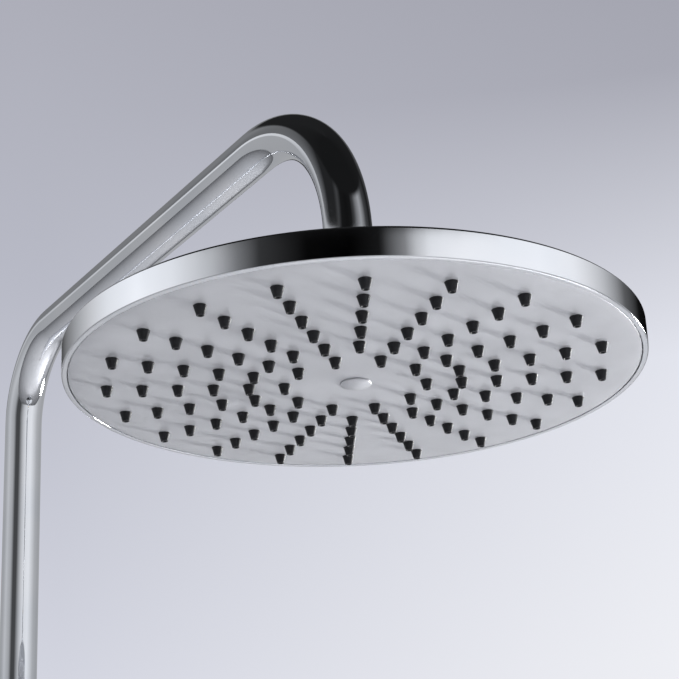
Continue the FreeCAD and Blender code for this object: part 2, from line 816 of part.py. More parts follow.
def make_hub():
    body = head_body("head_hub")
    turned(body, [
        ("centre_screw_radius + running_gap", "mat_land_top"),
        ("hub_stem_radius", "mat_land_top"),
        ("hub_stem_radius", "chamber_ceiling"),
        ("hub_spigot_radius", "chamber_ceiling"),
        ("hub_spigot_radius", "hub_ring_level - hub_groove_half"),
        ("hub_groove_radius", "hub_ring_level - hub_groove_half"),
        ("hub_groove_radius", "hub_ring_level + hub_groove_half"),
        ("hub_spigot_radius", "hub_ring_level + hub_groove_half"),
        ("hub_spigot_radius", "flange_bottom"),
        ("hub_flange_radius", "flange_bottom"),
        ("hub_flange_radius", "flange_top"),
        ("hub_neck_radius", "flange_top"),
        ("hub_neck_radius", "ball_above_lip"),
        ("cup_radius", "ball_above_lip", "cup_radius"),
        ("seal_groove", "ball_above_lip - cup_edge"),
        ("seal_groove", "ball_above_lip - seal_seat"),
        ("hub_bore_radius", "ball_above_lip - seal_seat"),
        ("hub_bore_radius", "plenum_bottom + hub_plenum_height"),
        ("hub_plenum_radius", "plenum_bottom + hub_plenum_height"),
        ("hub_plenum_radius", "plenum_bottom"),
        ("0", "plenum_bottom"),
        ("0", "centre_screw_top + seat_gap"),
        ("centre_screw_radius + running_gap", "centre_screw_top + seat_gap"),
    ])
    hole = draw_circle(new_sketch(body, "XY_Plane", "chamber_ceiling"), "hub_water_hole_circle", "0",
                       "hub_water_hole_radius")
    first = pocketed(body, hole, "hub_web_thickness", backwards=True)
    repeated(body, [first], "hub_water_holes")
    gasket = head_body("hub_gasket")
    ring(gasket, "shell_bore", "hub_flange_radius - band_edge", "flange_top", "shell_inside_top")
    nut = head_body("hub_lock_nut")
    hex_nut(nut, "lock_nut_flats", "shell_top_level", "shell_top_level + lock_nut_height")
    turned(nut, [
        ("0", "shell_top_level"),
        ("hub_neck_radius + running_gap", "shell_top_level"),
        ("hub_neck_radius + running_gap", "shell_top_level + lock_nut_height"),
        ("0", "shell_top_level + lock_nut_height"),
    ], cut=True)
    nodes.append(torus("hub_ring", "collar_bore - hub_ring_section", "hub_ring_section",
                       "0", "-head_out", "lip_level + hub_ring_level"))


def make_shell():
    """Top cover, side band and bottom lip in one plated moulding."""
    body = head_body("head_shell")
    turned(body, [
        ("shell_bore", "shell_inside_top"),
        ("shell_flat_radius", "shell_inside_top", "ceiling_curve"),
        ("band_inside", "band_height - shell_wall"),
        ("band_inside", "0"),
        ("head_radius - lip_edge", "0"),
        ("head_radius", "lip_edge"),
        ("head_radius", "band_height - band_edge"),
        ("cover_edge", "band_height", "-cover_curve"),
        ("shell_flat_radius", "shell_top_level"),
        ("shell_bore", "shell_top_level"),
    ])


def crowned_disc(body, hole, rim, land, edge, thickness):
    """A disc that is crowned downwards between its flat middle and its flat rim."""
    corners = [
        (hole, land),
        ("plate_land_radius", land, "-crown_curve"),
        ("crown_radius", edge),
        ("crown_radius", f"{edge} + {thickness}", "crown_curve"),
        ("plate_land_radius", f"{land} + {thickness}"),
        (hole, f"{land} + {thickness}"),
    ]
    if rim:
        corners[3:3] = [(rim, edge), (rim, f"{edge} + {thickness}")]
    return turned(body, corners)


def ray_point(radius, angle="ray_angle"):
    return f"({radius}) * cos({angle} * 1 deg)", f"({radius}) * sin({angle} * 1 deg)"


def nozzle_rings():
    """The rings' radii, innermost first."""
    numbers = range(SIZES["ring_count"])
    return [f"first_ring_radius + {number} * ring_spacing" for number in numbers]


def ring_groups():
    """Rings that share a nozzle count: the innermost ring leaves out every other ray."""
    rings = nozzle_rings()
    return [(rings[:1], "ray_count / 2"), (rings[1:], "ray_count")]


def pierced(body, hole_radius, lift, length):
    """Pierces a hole at every nozzle, cutting downwards from the given height."""
    for rings, count in ring_groups():
        sketch = new_sketch(body, "XY_Plane", lift)
        for radius in rings:
            draw_circle(sketch, *ray_point(radius), hole_radius)
        repeated(body, [pocketed(body, sketch, length)], count)


def crown_level(radius):
    """Height of the face plate's underside at a radius within its crown."""
    return f"(land_bottom + crown_centre - sqrt(crown_curve ^ 2 - ({radius}) ^ 2))"


def make_face_plate():
    body = head_body("face_plate")
    crowned_disc(body, "centre_hole_radius", "plate_radius", "land_bottom", "plate_recess",
                 "plate_thickness")
    boss_point = ray_point("boss_circle_radius", BOSS_ANGLE)
    boss = draw_circle(new_sketch(body, "XY_Plane", "plate_top"), *boss_point, "boss_radius")
    bosses = padded(body, boss, "chamber_ceiling - plate_top")
    repeated(body, [bosses], "boss_count")
    hole = draw_circle(new_sketch(body, "XY_Plane", "chamber_ceiling"), *boss_point,
                       "screw_radius + running_gap")
    holes = pocketed(body, hole, "screw_reach + seat_gap")
    repeated(body, [holes], "boss_count")
    pierced(body, "nozzle_base_radius + nozzle_hole_gap", "plate_top", "plate_top - land_bottom")


def add_nozzles(body, rings, count):
    """A plug through the plate's hole, then a cone down to a rounded tip, round each ring."""
    nozzles = []
    for radius in rings:
        base = crown_level(radius)
        tip = f"{base} - nozzle_length"
        root = f"{base} + plate_thickness + mat_thickness / 2"
        sketch = draw(new_sketch(body, "XZ_Plane"), [
            ("nozzle_mouth_radius", tip),
            ("nozzle_tip_radius - nozzle_tip_round", tip),
            ("nozzle_tip_radius", f"{tip} + nozzle_tip_round"),
            ("nozzle_base_radius", base),
            ("nozzle_base_radius", root),
            ("nozzle_bore_radius", root),
            ("nozzle_bore_radius", f"{tip} + nozzle_mouth_depth"),
        ])
        x, y = ray_point(radius)
        bind(sketch, "AttachmentOffset.Base.x", x)
        bind(sketch, "AttachmentOffset.Base.z", f"-({y})")
        nozzles.append(revolved(body, sketch))
    repeated(body, nozzles, count)


def make_nozzle_mat():
    """The soft sheet over the face plate, with all its nozzles in one moulding."""
    body = head_body("nozzle_mat")
    crowned_disc(body, "centre_hole_radius", None, "land_top", "plate_top", "mat_thickness")
    pierced(body, "nozzle_inlet_radius", "mat_top", "mat_top - land_bottom")
    for rings, count in ring_groups():
        add_nozzles(body, rings, count)


def make_chamber():
    """The plate that closes the water chamber over the mat, its gasket and its screws."""
    boss_point = ray_point("boss_circle_radius", BOSS_ANGLE)
    plate = head_body("chamber_plate")
    turned(plate, [
        ("collar_bore", "chamber_ceiling"),
        ("chamber_wall_radius - chamber_wall_thickness", "chamber_ceiling"),
        ("chamber_wall_radius - chamber_wall_thickness", "mat_top"),
        ("chamber_wall_radius", "mat_top"),
        ("chamber_wall_radius", "chamber_ceiling"),
        ("chamber_plate_radius", "chamber_ceiling"),
        ("chamber_plate_radius", "chamber_top"),
        ("chamber_collar_radius", "chamber_top"),
        ("chamber_collar_radius", "chamber_ceiling + chamber_collar_height"),
        ("collar_bore", "chamber_ceiling + chamber_collar_height"),
    ])
    hole = draw_circle(new_sketch(plate, "XY_Plane", "chamber_top"), *boss_point,
                       "screw_radius + 2 * running_gap")
    holes = pocketed(plate, hole, "chamber_plate_thickness")
    repeated(plate, [holes], "boss_count")
    gasket = head_body("chamber_gasket")
    ring(gasket, "crown_radius + running_gap", "crown_radius + gasket_width",
         "plate_top", "chamber_ceiling")
    screws = head_body("chamber_screws")
    shank = draw_circle(new_sketch(screws, "XY_Plane", "chamber_ceiling - screw_reach"), *boss_point,
                        "screw_radius")
    shanks = padded(screws, shank, "screw_reach + chamber_plate_thickness")
    head = draw_circle(new_sketch(screws, "XY_Plane", "chamber_top"), *boss_point, "screw_head_radius")
    heads = padded(screws, head, "screw_head_height")
    repeated(screws, [shanks, heads], "boss_count")


def make_centre_screw():
    screw = head_body("centre_screw")
    turned(screw, [
        ("0", "land_bottom - centre_screw_head_height"),
        ("centre_screw_head_radius - lip_edge", "land_bottom - centre_screw_head_height"),
        ("centre_screw_head_radius", "land_bottom - centre_screw_head_height + lip_edge"),
        ("centre_screw_head_radius", "land_bottom"),
        ("centre_screw_radius", "land_bottom"),
        ("centre_screw_radius", "centre_screw_top"),
        ("0", "centre_screw_top"),
    ])
    cap = head_body("centre_cap")
    turned(cap, [
        ("0", "land_bottom - cap_height", "-cap_curve"),
        ("cap_radius", "land_bottom - cap_wall"),
        ("cap_radius", "land_bottom"),
        ("centre_screw_head_radius + running_gap", "land_bottom"),
        ("centre_screw_head_radius + running_gap", "cap_hollow"),
        ("0", "cap_hollow"),
    ])


# ---------------------------------------------------------------- build, check and write

make_wall_plate()
make_bracket_holder()
make_bracket_bush()
make_bracket_screws()
make_rosette()
make_riser_tube()
make_sleeve()
make_sleeve_rings()
make_arm_tube()
make_inlet()
make_swivel_ball()
make_arm_end()
make_ball_seat()
make_ball_nut()
make_hub()
make_shell()
make_face_plate()
make_nozzle_mat()
make_chamber()
make_centre_screw()
document.recompute()

for item in document.Objects:
    if "Invalid" in item.State or "Error" in item.State:
        raise RuntimeError(f"{item.Label} failed: {item.State}")
for node in nodes:
    if node.Shape.isNull() or not node.Shape.isValid() or not node.Shape.Solids:
        raise RuntimeError(f"{node.Label} has no sound shape")

os.makedirs("parts", exist_ok=True)
for node in nodes:
    node.Shape.exportStep(f"parts/{node.Label}.step")
    print(f"{node.Label}: {len(node.Shape.Solids)} solids, {node.Shape.Volume:.0f} mm3")
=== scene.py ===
# %% [markdown]
# # A shower column with a rain head
#
# The column is a bent chromed tube that a bracket holds off the wall. Its arm carries a flat
# round head with a satin face plate and soft black nozzles. The solids of the column are loaded
# as a fixed frame, and every visible piece is built again here with rounded edges and real
# finishes, in the place that the frame gives it. Lengths are written in millimetres.

import json
import math

import bpy
from mathutils import Matrix, Vector


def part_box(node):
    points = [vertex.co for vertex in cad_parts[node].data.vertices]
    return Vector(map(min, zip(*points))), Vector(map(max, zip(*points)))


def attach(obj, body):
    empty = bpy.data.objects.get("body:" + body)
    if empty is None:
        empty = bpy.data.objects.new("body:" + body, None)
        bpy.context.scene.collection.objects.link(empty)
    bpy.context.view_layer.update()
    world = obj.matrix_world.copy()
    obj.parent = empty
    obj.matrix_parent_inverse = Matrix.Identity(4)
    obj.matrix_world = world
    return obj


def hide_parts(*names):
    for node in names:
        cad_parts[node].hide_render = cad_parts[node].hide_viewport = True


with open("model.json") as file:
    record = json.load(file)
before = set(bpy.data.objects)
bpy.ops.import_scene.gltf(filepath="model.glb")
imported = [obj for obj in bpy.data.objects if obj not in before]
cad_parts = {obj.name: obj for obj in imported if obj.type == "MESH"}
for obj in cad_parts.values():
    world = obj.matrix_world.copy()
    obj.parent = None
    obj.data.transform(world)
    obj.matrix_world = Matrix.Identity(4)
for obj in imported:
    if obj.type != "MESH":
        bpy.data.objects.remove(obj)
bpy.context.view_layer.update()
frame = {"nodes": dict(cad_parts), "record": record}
nodes = frame["nodes"]
MM = 0.001
FULL_TURN = 2 * math.pi
print("frame loaded:", len(nodes), "nodes")

# %% [markdown]
# ## The camera
#
# The view is from below, beside the column, with a long lens. The ellipse of the head's lip
# fixes where the camera stands: its tilt comes from how narrow the ellipse is, and its distance
# from how much larger the near side of the nozzle pattern looks than the far side.

# %% Place the camera below the head and look up at it
PICTURE_SIDE = 679              # pixels
FOCAL_LENGTH = 1769             # pixels
SENSOR = 36                     # mm

shell_low, shell_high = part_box("head_shell")
HEAD_RADIUS = round((shell_high.x - shell_low.x) / 2 / MM, 3)
LIP_CENTRE = Vector((0, (shell_low.y + shell_high.y) / 2, shell_low.z))

CAMERA_DISTANCE = 5.699         # along the floor, in head radii
CAMERA_DROP = 2.130             # below the lip, in head radii
HEADING = math.radians(33.25)   # clockwise from the arm's line, seen from above
SIDEWAYS = -0.0085              # radians the view passes beside the head's centre
PITCH = 0.3798                  # radians upwards
ROLL = -0.0481                  # radians

toward = Vector((math.sin(HEADING), math.cos(HEADING), 0))
across = Vector((math.cos(HEADING), -math.sin(HEADING), 0))
drop = Vector((0, 0, CAMERA_DROP))
camera_place = LIP_CENTRE - (toward * CAMERA_DISTANCE + drop) * HEAD_RADIUS * MM

level_look = toward * math.cos(SIDEWAYS) + across * math.sin(SIDEWAYS)
look = level_look * math.cos(PITCH) + Vector((0, 0, math.sin(PITCH)))
level_right = across * math.cos(SIDEWAYS) - toward * math.sin(SIDEWAYS)
level_up = level_right.cross(look)
right = level_right * math.cos(ROLL) + level_up * math.sin(ROLL)
up = level_up * math.cos(ROLL) - level_right * math.sin(ROLL)

lens = bpy.data.cameras.new("camera")
lens.sensor_width = SENSOR
lens.lens = FOCAL_LENGTH / PICTURE_SIDE * SENSOR
lens.clip_start = 10 * MM
lens.clip_end = 100
camera = bpy.data.objects.new("camera", lens)
camera.matrix_world = Matrix.Translation(camera_place) @ Matrix((right, up, -look)).transposed().to_4x4()
bpy.context.scene.collection.objects.link(camera)
bpy.context.scene.camera = camera
bpy.context.scene.view_settings.view_transform = "Standard"
print("lens:", round(lens.lens, 1), "mm; camera at", [round(x, 3) for x in camera_place])

# %% [markdown]
# ## Two small helpers for materials
#
# Colours are picked on a screen, so they are written as the hex values that the screen shows.
# A shader works in linear light, so one function converts them. The other function adds a node
# and fills its sockets: a socket given to it is linked, and anything else is a plain setting.


# %% Colours and nodes
def linear(code, strength=1.0):
    channels = [int(code[place:place + 2], 16) / 255 for place in (1, 3, 5)]
    bent = [c / 12.92 if c <= 0.04045 else ((c + 0.055) / 1.055) ** 2.4 for c in channels]
    return [c * strength for c in bent] + [1.0]


def add_node(tree, kind, sockets=None, stops=None, **settings):
    """Adds a node; stops are the places and colours of a colour ramp."""
    node = tree.nodes.new(kind)
    for name, setting in settings.items():
        setattr(node, name, setting)
    for socket, source in (sockets or {}).items():
        if isinstance(source, bpy.types.NodeSocket):
            tree.links.new(source, node.inputs[socket])
        else:
            node.inputs[socket].default_value = source
    if stops:
        elements = node.color_ramp.elements
        while len(elements) < len(stops):
            elements.new(1)
        for element, (place, colour) in zip(elements, stops):
            element.position = place
            element.color = colour
    return node


# A mix node's colour sockets share their names with its number sockets, so they go by place.
MIX, FIRST, SECOND, MIXED = 0, 6, 7, 2

# %% [markdown]
# ## The studio
#
# Polished chrome has no colour of its own: it shows the room. The room here is the world
# shader, built as four bands, one above the other. Each band has its own light and dark panels
# round the room, as a studio stands them round a chromed piece, so that its curves read as black
# and white stripes. The ceiling is dark, so that the tube's bend reads black. The camera sees a
# plain grey backdrop instead, which gets lighter towards the floor and to the right.

# %% World: four bands of panels, and the backdrop for the camera
world = bpy.data.worlds.new("studio")
world.use_nodes = True
room = world.node_tree
room.nodes.clear()
bpy.context.scene.world = world

direction = add_node(room, "ShaderNodeTexCoord").outputs["Generated"]
parts = {}
for name, axis in (("along", toward), ("side", across), ("height", Vector((0, 0, 1)))):
    product = add_node(room, "ShaderNodeVectorMath", {0: direction, 1: axis}, operation="DOT_PRODUCT")
    parts[name] = product.outputs["Value"]
turn = add_node(room, "ShaderNodeMath", {0: parts["side"], 1: parts["along"]}, operation="ARCTAN2")
round_room = add_node(room, "ShaderNodeMapRange", {
    "Value": turn.outputs[0], "From Min": -math.pi, "From Max": math.pi}).outputs[0]

# For each band: the heights at which it begins and is full, as the sine of the angle above the
# horizon, then degrees to the right of the view's line, each with the light there.
PANEL_WHITE = "#f8fafe"
BANDS = [
    (None, None, [
        (-180, 0.36), (-166, 0.07), (-146, 0.07), (-130, 0.42), (-98, 0.60), (-70, 0.42),
        (-40, 0.40), (0, 0.42), (39, 0.40), (74, 0.48), (89, 0.62), (118, 0.90), (150, 0.84),
        (167, 0.62), (180, 0.36)]),
    (0.335, 0.350, [
        (-180, 0.0), (-164, 0.002), (-146, 0.04), (-137, 0.22), (-127, 0.56), (-109, 0.92),
        (-91, 1.08), (-73, 0.92), (-56, 0.58), (-39, 0.30), (-23, 0.11), (-9, 0.03), (16, 0.002),
        (33, 0.006), (50, 0.12), (68, 0.60), (86, 0.98), (104, 1.06), (140, 1.00), (150, 0.90),
        (155, 0.60), (159, 0.26), (168, 0.01), (180, 0.0)]),
    (0.424, 0.436, [
        (-180, 0.007), (-155, 0.01), (-140, 0.06), (-125, 0.02), (-90, 0.02), (-72, 0.12),
        (-50, 0.22), (0, 0.20), (20, 0.08), (52, 0.011), (83, 0.06), (100, 0.25), (112, 0.38),
        (130, 0.22), (145, 0.06), (160, 0.01), (180, 0.007)]),
    (0.66, 0.72, [(-180, 0.010), (-110, 0.010), (-60, 0.016), (0, 0.016), (110, 0.010), (180, 0.010)]),
]
whole_room = None
for begins, full, panels in BANDS:
    stops = [((degrees + 180) / 360, linear(PANEL_WHITE, light)) for degrees, light in panels]
    band = add_node(room, "ShaderNodeValToRGB", {"Fac": round_room}, stops=stops).outputs["Color"]
    if whole_room:
        edge = add_node(room, "ShaderNodeMapRange", {
            "Value": parts["height"], "From Min": begins, "From Max": full},
            interpolation_type="SMOOTHSTEP")
        band = add_node(room, "ShaderNodeMix", {
            MIX: edge.outputs[0], FIRST: whole_room, SECOND: band}, data_type="RGBA").outputs[MIXED]
    whole_room = band

# The backdrop goes down from dark to light, and does so faster on the right.
down = add_node(room, "ShaderNodeMapRange", {
    "Value": parts["height"], "From Min": 0.54, "From Max": 0.19}).outputs[0]
left_side = add_node(room, "ShaderNodeValToRGB", {"Fac": down}, stops=[
    (0.0, linear("#adaeb9")), (0.40, linear("#b8bac6")), (1.0, linear("#d3d5e0"))])
right_side = add_node(room, "ShaderNodeValToRGB", {"Fac": down}, stops=[
    (0.0, linear("#a3a4af")), (0.14, linear("#a8a9b4")), (0.55, linear("#e3e5ee")),
    (1.0, linear("#eff0f5"))])
rightwards = add_node(room, "ShaderNodeMapRange", {
    "Value": parts["side"], "From Min": -0.17, "From Max": 0.19}).outputs[0]
backdrop = add_node(room, "ShaderNodeMix", {
    MIX: rightwards, FIRST: left_side.outputs["Color"], SECOND: right_side.outputs["Color"]},
    data_type="RGBA").outputs[MIXED]

rays = add_node(room, "ShaderNodeLightPath")
seen = add_node(room, "ShaderNodeMix", {
    MIX: rays.outputs["Is Camera Ray"], FIRST: whole_room, SECOND: backdrop}, data_type="RGBA")
glow = add_node(room, "ShaderNodeBackground", {"Color": seen.outputs[MIXED], "Strength": 1.0})
add_node(room, "ShaderNodeOutputWorld", {"Surface": glow.outputs[0]})
print("studio:", len(BANDS), "bands,", sum(len(band[2]) for band in BANDS), "panel edges")

# %% [markdown]
# ## Floor and lamps
#
# The floor is pale and plain, far below the head. A low lamp behind the head on the right skims
# the face plate, so that each nozzle throws a soft shadow on it and shows a bright edge. A
# second one lights the floor beyond the head, which is what the satin plate mirrors. A wide one
# overhead and one in front keep the rest at a plain level. Chrome shows the panels and not the
# lamps, so only the low lamp is mirrored.

# %% Floor and lamps
FLOOR_LEVEL = -0.80             # m
FLOOR_SIDE = 14                 # m

bpy.ops.object.select_all(action="DESELECT")
bpy.ops.mesh.primitive_plane_add(size=FLOOR_SIDE, location=(0, 0, FLOOR_LEVEL))
floor = bpy.context.object
floor.name = "floor"
bpy.ops.object.transform_apply(location=True, rotation=True, scale=True)

floor_paint = bpy.data.materials.new("pale floor paint")
floor_paint.use_nodes = True
floor_paint.node_tree.nodes["Principled BSDF"].inputs["Base Color"].default_value = linear("#d9dade")
floor_paint.node_tree.nodes["Principled BSDF"].inputs["Roughness"].default_value = 0.8
floor.data.materials.append(floor_paint)

LAMPS = [
    # name, metres along and across the view from the head, metres up, what it points at,
    # side in metres, watts, whether metal mirrors it
    ("low lamp", 1.07, 1.19, -0.28, LIP_CENTRE, 0.32, 42, True),
    ("floor lamp", 2.6, 0.5, 0.55, None, 1.4, 16, False),
    ("overhead lamp", 0.0, 0.0, 4.0, None, 6.0, 130, False),
    ("front lamp", -1.6, 0.9, 0.1, LIP_CENTRE, 1.2, 14, False),
]
for name, along, beside, height, target, side, power, mirrored in LAMPS:
    light = bpy.data.lights.new(name, "AREA")
    light.size = side
    light.energy = power
    lamp = bpy.data.objects.new(name, light)
    lamp.location = LIP_CENTRE + toward * along + across * beside + Vector((0, 0, height))
    aim = target - lamp.location if target else Vector((0, 0, -1))
    lamp.rotation_euler = aim.to_track_quat("-Z", "Y").to_euler()
    lamp.visible_glossy = mirrored
    bpy.context.scene.collection.objects.link(lamp)
print("lamps:", len(LAMPS))

# %% [markdown]
# ## Finishes
#
# Every finish starts as a principled shader with the values of the real material. Soft noise in
# object coordinates then breaks the evenness: no plating is perfectly flat, and no moulding is
# evenly matt. One call takes care of one size of unevenness in colour, gloss and height.


# %% Start a finish, and break its evenness
def new_finish(name, colour, metallic, roughness, others=None):
    """A material with its constants set; returns it, its node tree and its shader."""
    finish = bpy.data.materials.new(name)
    finish.use_nodes = True
    tree = finish.node_tree
    shader = tree.nodes["Principled BSDF"]
    shader.inputs["Base Color"].default_value = linear(colour)
    shader.inputs["Metallic"].default_value = metallic
    shader.inputs["Roughness"].default_value = roughness
    for socket, setting in (others or {}).items():
        shader.inputs[socket].default_value = setting
    return finish, tree, shader


def uneven(tree, shader, size_mm, detail=2.0, stretch=(1, 1, 1), tints=None, gloss=None, depth_mm=None):
    """Blobs about size_mm across that shift the colour between two tints, the roughness
    between two numbers and the height by depth_mm."""
    place = add_node(tree, "ShaderNodeTexCoord").outputs["Object"]
    scaled = add_node(tree, "ShaderNodeMapping", {
        "Vector": place, "Scale": [1 / (size_mm * MM * s) for s in stretch]})
    noise = add_node(tree, "ShaderNodeTexNoise", {
        "Vector": scaled.outputs[0], "Scale": 1.0, "Detail": detail}).outputs["Fac"]
    if tints:
        colour = add_node(tree, "ShaderNodeValToRGB", {"Fac": noise}, stops=[
            (0.3, linear(tints[0])), (0.7, linear(tints[1]))])
        tree.links.new(colour.outputs["Color"], shader.inputs["Base Color"])
    if gloss:
        roughness = add_node(tree, "ShaderNodeMapRange", {
            "Value": noise, "From Min": 0.3, "From Max": 0.7, "To Min": gloss[0], "To Max": gloss[1]})
        tree.links.new(roughness.outputs[0], shader.inputs["Roughness"])
    if depth_mm:
        bump = add_node(tree, "ShaderNodeBump", {"Height": noise, "Distance": depth_mm * MM})
        tree.links.new(bump.outputs["Normal"], shader.inputs["Normal"])


# %% [markdown]
# ## Chrome on brass and on plastic
#
# Bright chrome is plated over nickel, on drawn and buffed brass or on a moulding. It is as sharp
# as a mirror and slightly blue, with faint wipe marks where the gloss drops. Buffed brass has a
# very slight waviness, and a moulding a longer one.

# %% Chrome
PLATINGS = {}
for name, wave_mm, wave_depth_mm in (
        ("bright chrome on brass", 12, 0.004),
        ("bright chrome on ABS", 24, 0.006)):
    PLATINGS[name], tree, shader = new_finish(name, "#eceef2", 1.0, 0.05)
    uneven(tree, shader, 14, detail=4, stretch=(1, 1, 3), gloss=(0.03, 0.07))
    uneven(tree, shader, 40, tints=("#e6e9ee", "#f0f1f4"))
    uneven(tree, shader, wave_mm, detail=1, depth_mm=wave_depth_mm)
chromed_brass = PLATINGS["bright chrome on brass"]
chromed_plastic = PLATINGS["bright chrome on ABS"]

# %% [markdown]
# ## Satin face plate
#
# The plate is ABS with a satin metallic coat. Its fine flakes blur what it mirrors, so each
# nozzle shows as a soft dark smear behind it, and the spray gun's passes leave faint clouds.

# %% Satin metallic coat
satin_coat, tree, shader = new_finish("satin metallic coat on ABS", "#c4c5c9", 0.35, 0.36)
uneven(tree, shader, 26, detail=2, tints=("#bfc0c4", "#c8c9cd"))
uneven(tree, shader, 0.7, gloss=(0.32, 0.40), depth_mm=0.006)

# %% [markdown]
# ## Silicone, rubber, plastic, brass and steel
#
# Nozzles are matt black silicone, so that scale rubs off them. The seals are black nitrile
# rubber with a slight bloom. Acetal is a smooth off-white plastic. The brass and the steel are
# turned parts: fine rings round their axis blur the gloss.

# %% Soft black finishes
silicone, tree, shader = new_finish("moulded black silicone", "#18181b", 0.0, 0.42, {"IOR": 1.41})
uneven(tree, shader, 1.6, detail=3, tints=("#151517", "#1e1e22"), gloss=(0.34, 0.46))
uneven(tree, shader, 0.35, depth_mm=0.008)

rubber, tree, shader = new_finish("nitrile rubber", "#202022", 0.0, 0.6)
uneven(tree, shader, 3, detail=3, tints=("#1b1b1d", "#29292b"), gloss=(0.5, 0.7))
uneven(tree, shader, 0.5, depth_mm=0.02)

# %% Hard plastics
acetal, tree, shader = new_finish("acetal", "#e4e2dc", 0.0, 0.38)
uneven(tree, shader, 6, tints=("#dedcd5", "#e9e7e2"), gloss=(0.32, 0.45))
uneven(tree, shader, 0.8, depth_mm=0.008)

chamber_plastic, tree, shader = new_finish("glass-filled black nylon", "#2a2b2e", 0.0, 0.55)
uneven(tree, shader, 1.2, detail=4, stretch=(1, 4, 1), tints=("#232427", "#323337"),
       gloss=(0.45, 0.65), depth_mm=0.02)

# %% Turned metals
turned_brass, tree, shader = new_finish("turned brass", "#cfae6a", 1.0, 0.25)
uneven(tree, shader, 0.5, stretch=(8, 8, 0.5), tints=("#c8a55f", "#d8ba7a"),
       gloss=(0.18, 0.32), depth_mm=0.006)

stainless, tree, shader = new_finish("stainless steel", "#c2c3c6", 1.0, 0.3)
uneven(tree, shader, 0.6, stretch=(0.5, 8, 8), tints=("#b6b7bb", "#cccdd0"),
       gloss=(0.22, 0.38), depth_mm=0.005)

# %% Give every node of the frame the finish of its slot
FINISHES = {
    "chromed_brass": chromed_brass,
    "chromed_plastic": chromed_plastic,
    "satin_plate": satin_coat,
    "nozzle_silicone": silicone,
    "seals": rubber,
    "acetal": acetal,
    "chamber_plastic": chamber_plastic,
    "bare_brass": turned_brass,
    "plain_steel": stainless,
    "steel_screws": stainless,
}
slots = {entry["node"]: entry["material_slot"] for entry in frame["record"]["subparts"]}
members_of = frame["record"]["behaviour"]["bodies"]
bodies = {name: body for body, members in members_of.items() for name in members}
for name, item in nodes.items():
    item.data.materials.clear()
    item.data.materials.append(FINISHES[slots[name]])
print("finishes:", len(FINISHES))

# %% [markdown]
# ## Tools for turned pieces
#
# Nearly every piece of the column was turned on a lathe. A turned piece starts as one point
# that is drawn out, corner by corner, into half of its section. Spinning the section round the
# axis makes the piece.

# %% Draw a section and spin it
ROUND_THE_RISER = 96            # sides of a piece about as wide as the tube
UP = Vector((0, 0, 1))
OUT_OF_WALL = Vector((0, -1, 0))


def arc(start, end, radius, steps=12):
    """Points after start and up to end on the short arc, which bulges left of the way along
    it, or right if the radius is negative."""
    start, end = Vector(start), Vector(end)
    chord = end - start
    left = Vector((-chord.y, chord.x)).normalized()
    half = chord.length / 2
    bulge = math.copysign(1, radius)
    centre = (start + end) / 2 - left * bulge * math.sqrt(radius ** 2 - half ** 2)
    sweep = -2 * bulge * math.asin(half / abs(radius))
    spoke = start - centre
    points = []
    for step in range(1, steps + 1):
        angle = sweep * step / steps
        points.append((
            centre.x + spoke.x * math.cos(angle) - spoke.y * math.sin(angle),
            centre.y + spoke.x * math.sin(angle) + spoke.y * math.cos(angle)))
    return points


def spun(name, centre, outline, steps=ROUND_THE_RISER, axis=UP):
    """Turns a closed outline of (radius, height) points in mm round an axis through centre."""
    outwards = Vector((1, 0, 0))

    def place(point):
        return centre + outwards * point[0] * MM + axis * point[1] * MM

    bpy.ops.object.select_all(action="DESELECT")
    bpy.ops.mesh.primitive_plane_add(size=MM, location=place(outline[0]))
    piece = bpy.context.object
    piece.name = name
    piece.data.name = name
    bpy.ops.object.mode_set(mode="EDIT")
    bpy.ops.mesh.select_all(action="SELECT")
    bpy.ops.mesh.merge(type="CENTER")
    for start, end in zip(outline, outline[1:] + outline[:1]):
        step = place(end) - place(start)
        bpy.ops.mesh.extrude_vertices_move(TRANSFORM_OT_translate={"value": step})
    bpy.ops.mesh.select_all(action="SELECT")
    bpy.ops.mesh.remove_doubles(threshold=0.002 * MM)
    bpy.ops.mesh.select_all(action="SELECT")
    bpy.ops.mesh.spin(steps=steps, angle=FULL_TURN, center=centre, axis=axis, use_auto_merge=True)
    bpy.ops.mesh.select_all(action="SELECT")
    bpy.ops.mesh.remove_doubles(threshold=0.002 * MM)
    bpy.ops.mesh.normals_make_consistent(inside=False)
    bpy.ops.object.mode_set(mode="OBJECT")
    bpy.ops.object.transform_apply(location=True, rotation=True, scale=True)
    return piece


# %% [markdown]
# ## Tools for flats, holes and edges
#
# A nut is a turned blank trimmed by a six-sided bar, and a casting is bars joined and drilled,
# so one bar and one boolean step make them. A bevel then softens the edges, because no real
# edge is sharp enough to lose its thin line of light.


# %% Add a bar, combine two solids, and finish a piece
def bar(name, centre, axis, radius, length, sides=64):
    """A round or many-sided bar that starts at centre and runs length mm along the axis."""
    bpy.ops.object.select_all(action="DESELECT")
    bpy.ops.mesh.primitive_cylinder_add(
        vertices=sides, radius=radius * MM, depth=length * MM, location=centre + axis * length * MM / 2,
        rotation=axis.to_track_quat("Z", "Y").to_euler())
    piece = bpy.context.object
    piece.name = name
    piece.data.name = name
    bpy.ops.object.transform_apply(location=True, rotation=True, scale=True)
    return piece


def combine(piece, tool, operation):
    """Joins the piece with a second solid, or cuts or trims it with one, which goes away."""
    bpy.ops.object.select_all(action="DESELECT")
    piece.select_set(True)
    bpy.context.view_layer.objects.active = piece
    step = piece.modifiers.new(operation.lower(), "BOOLEAN")
    step.operation = operation
    step.solver = "EXACT"
    step.object = tool
    bpy.ops.object.modifier_apply(modifier=step.name)
    bpy.data.objects.remove(tool)


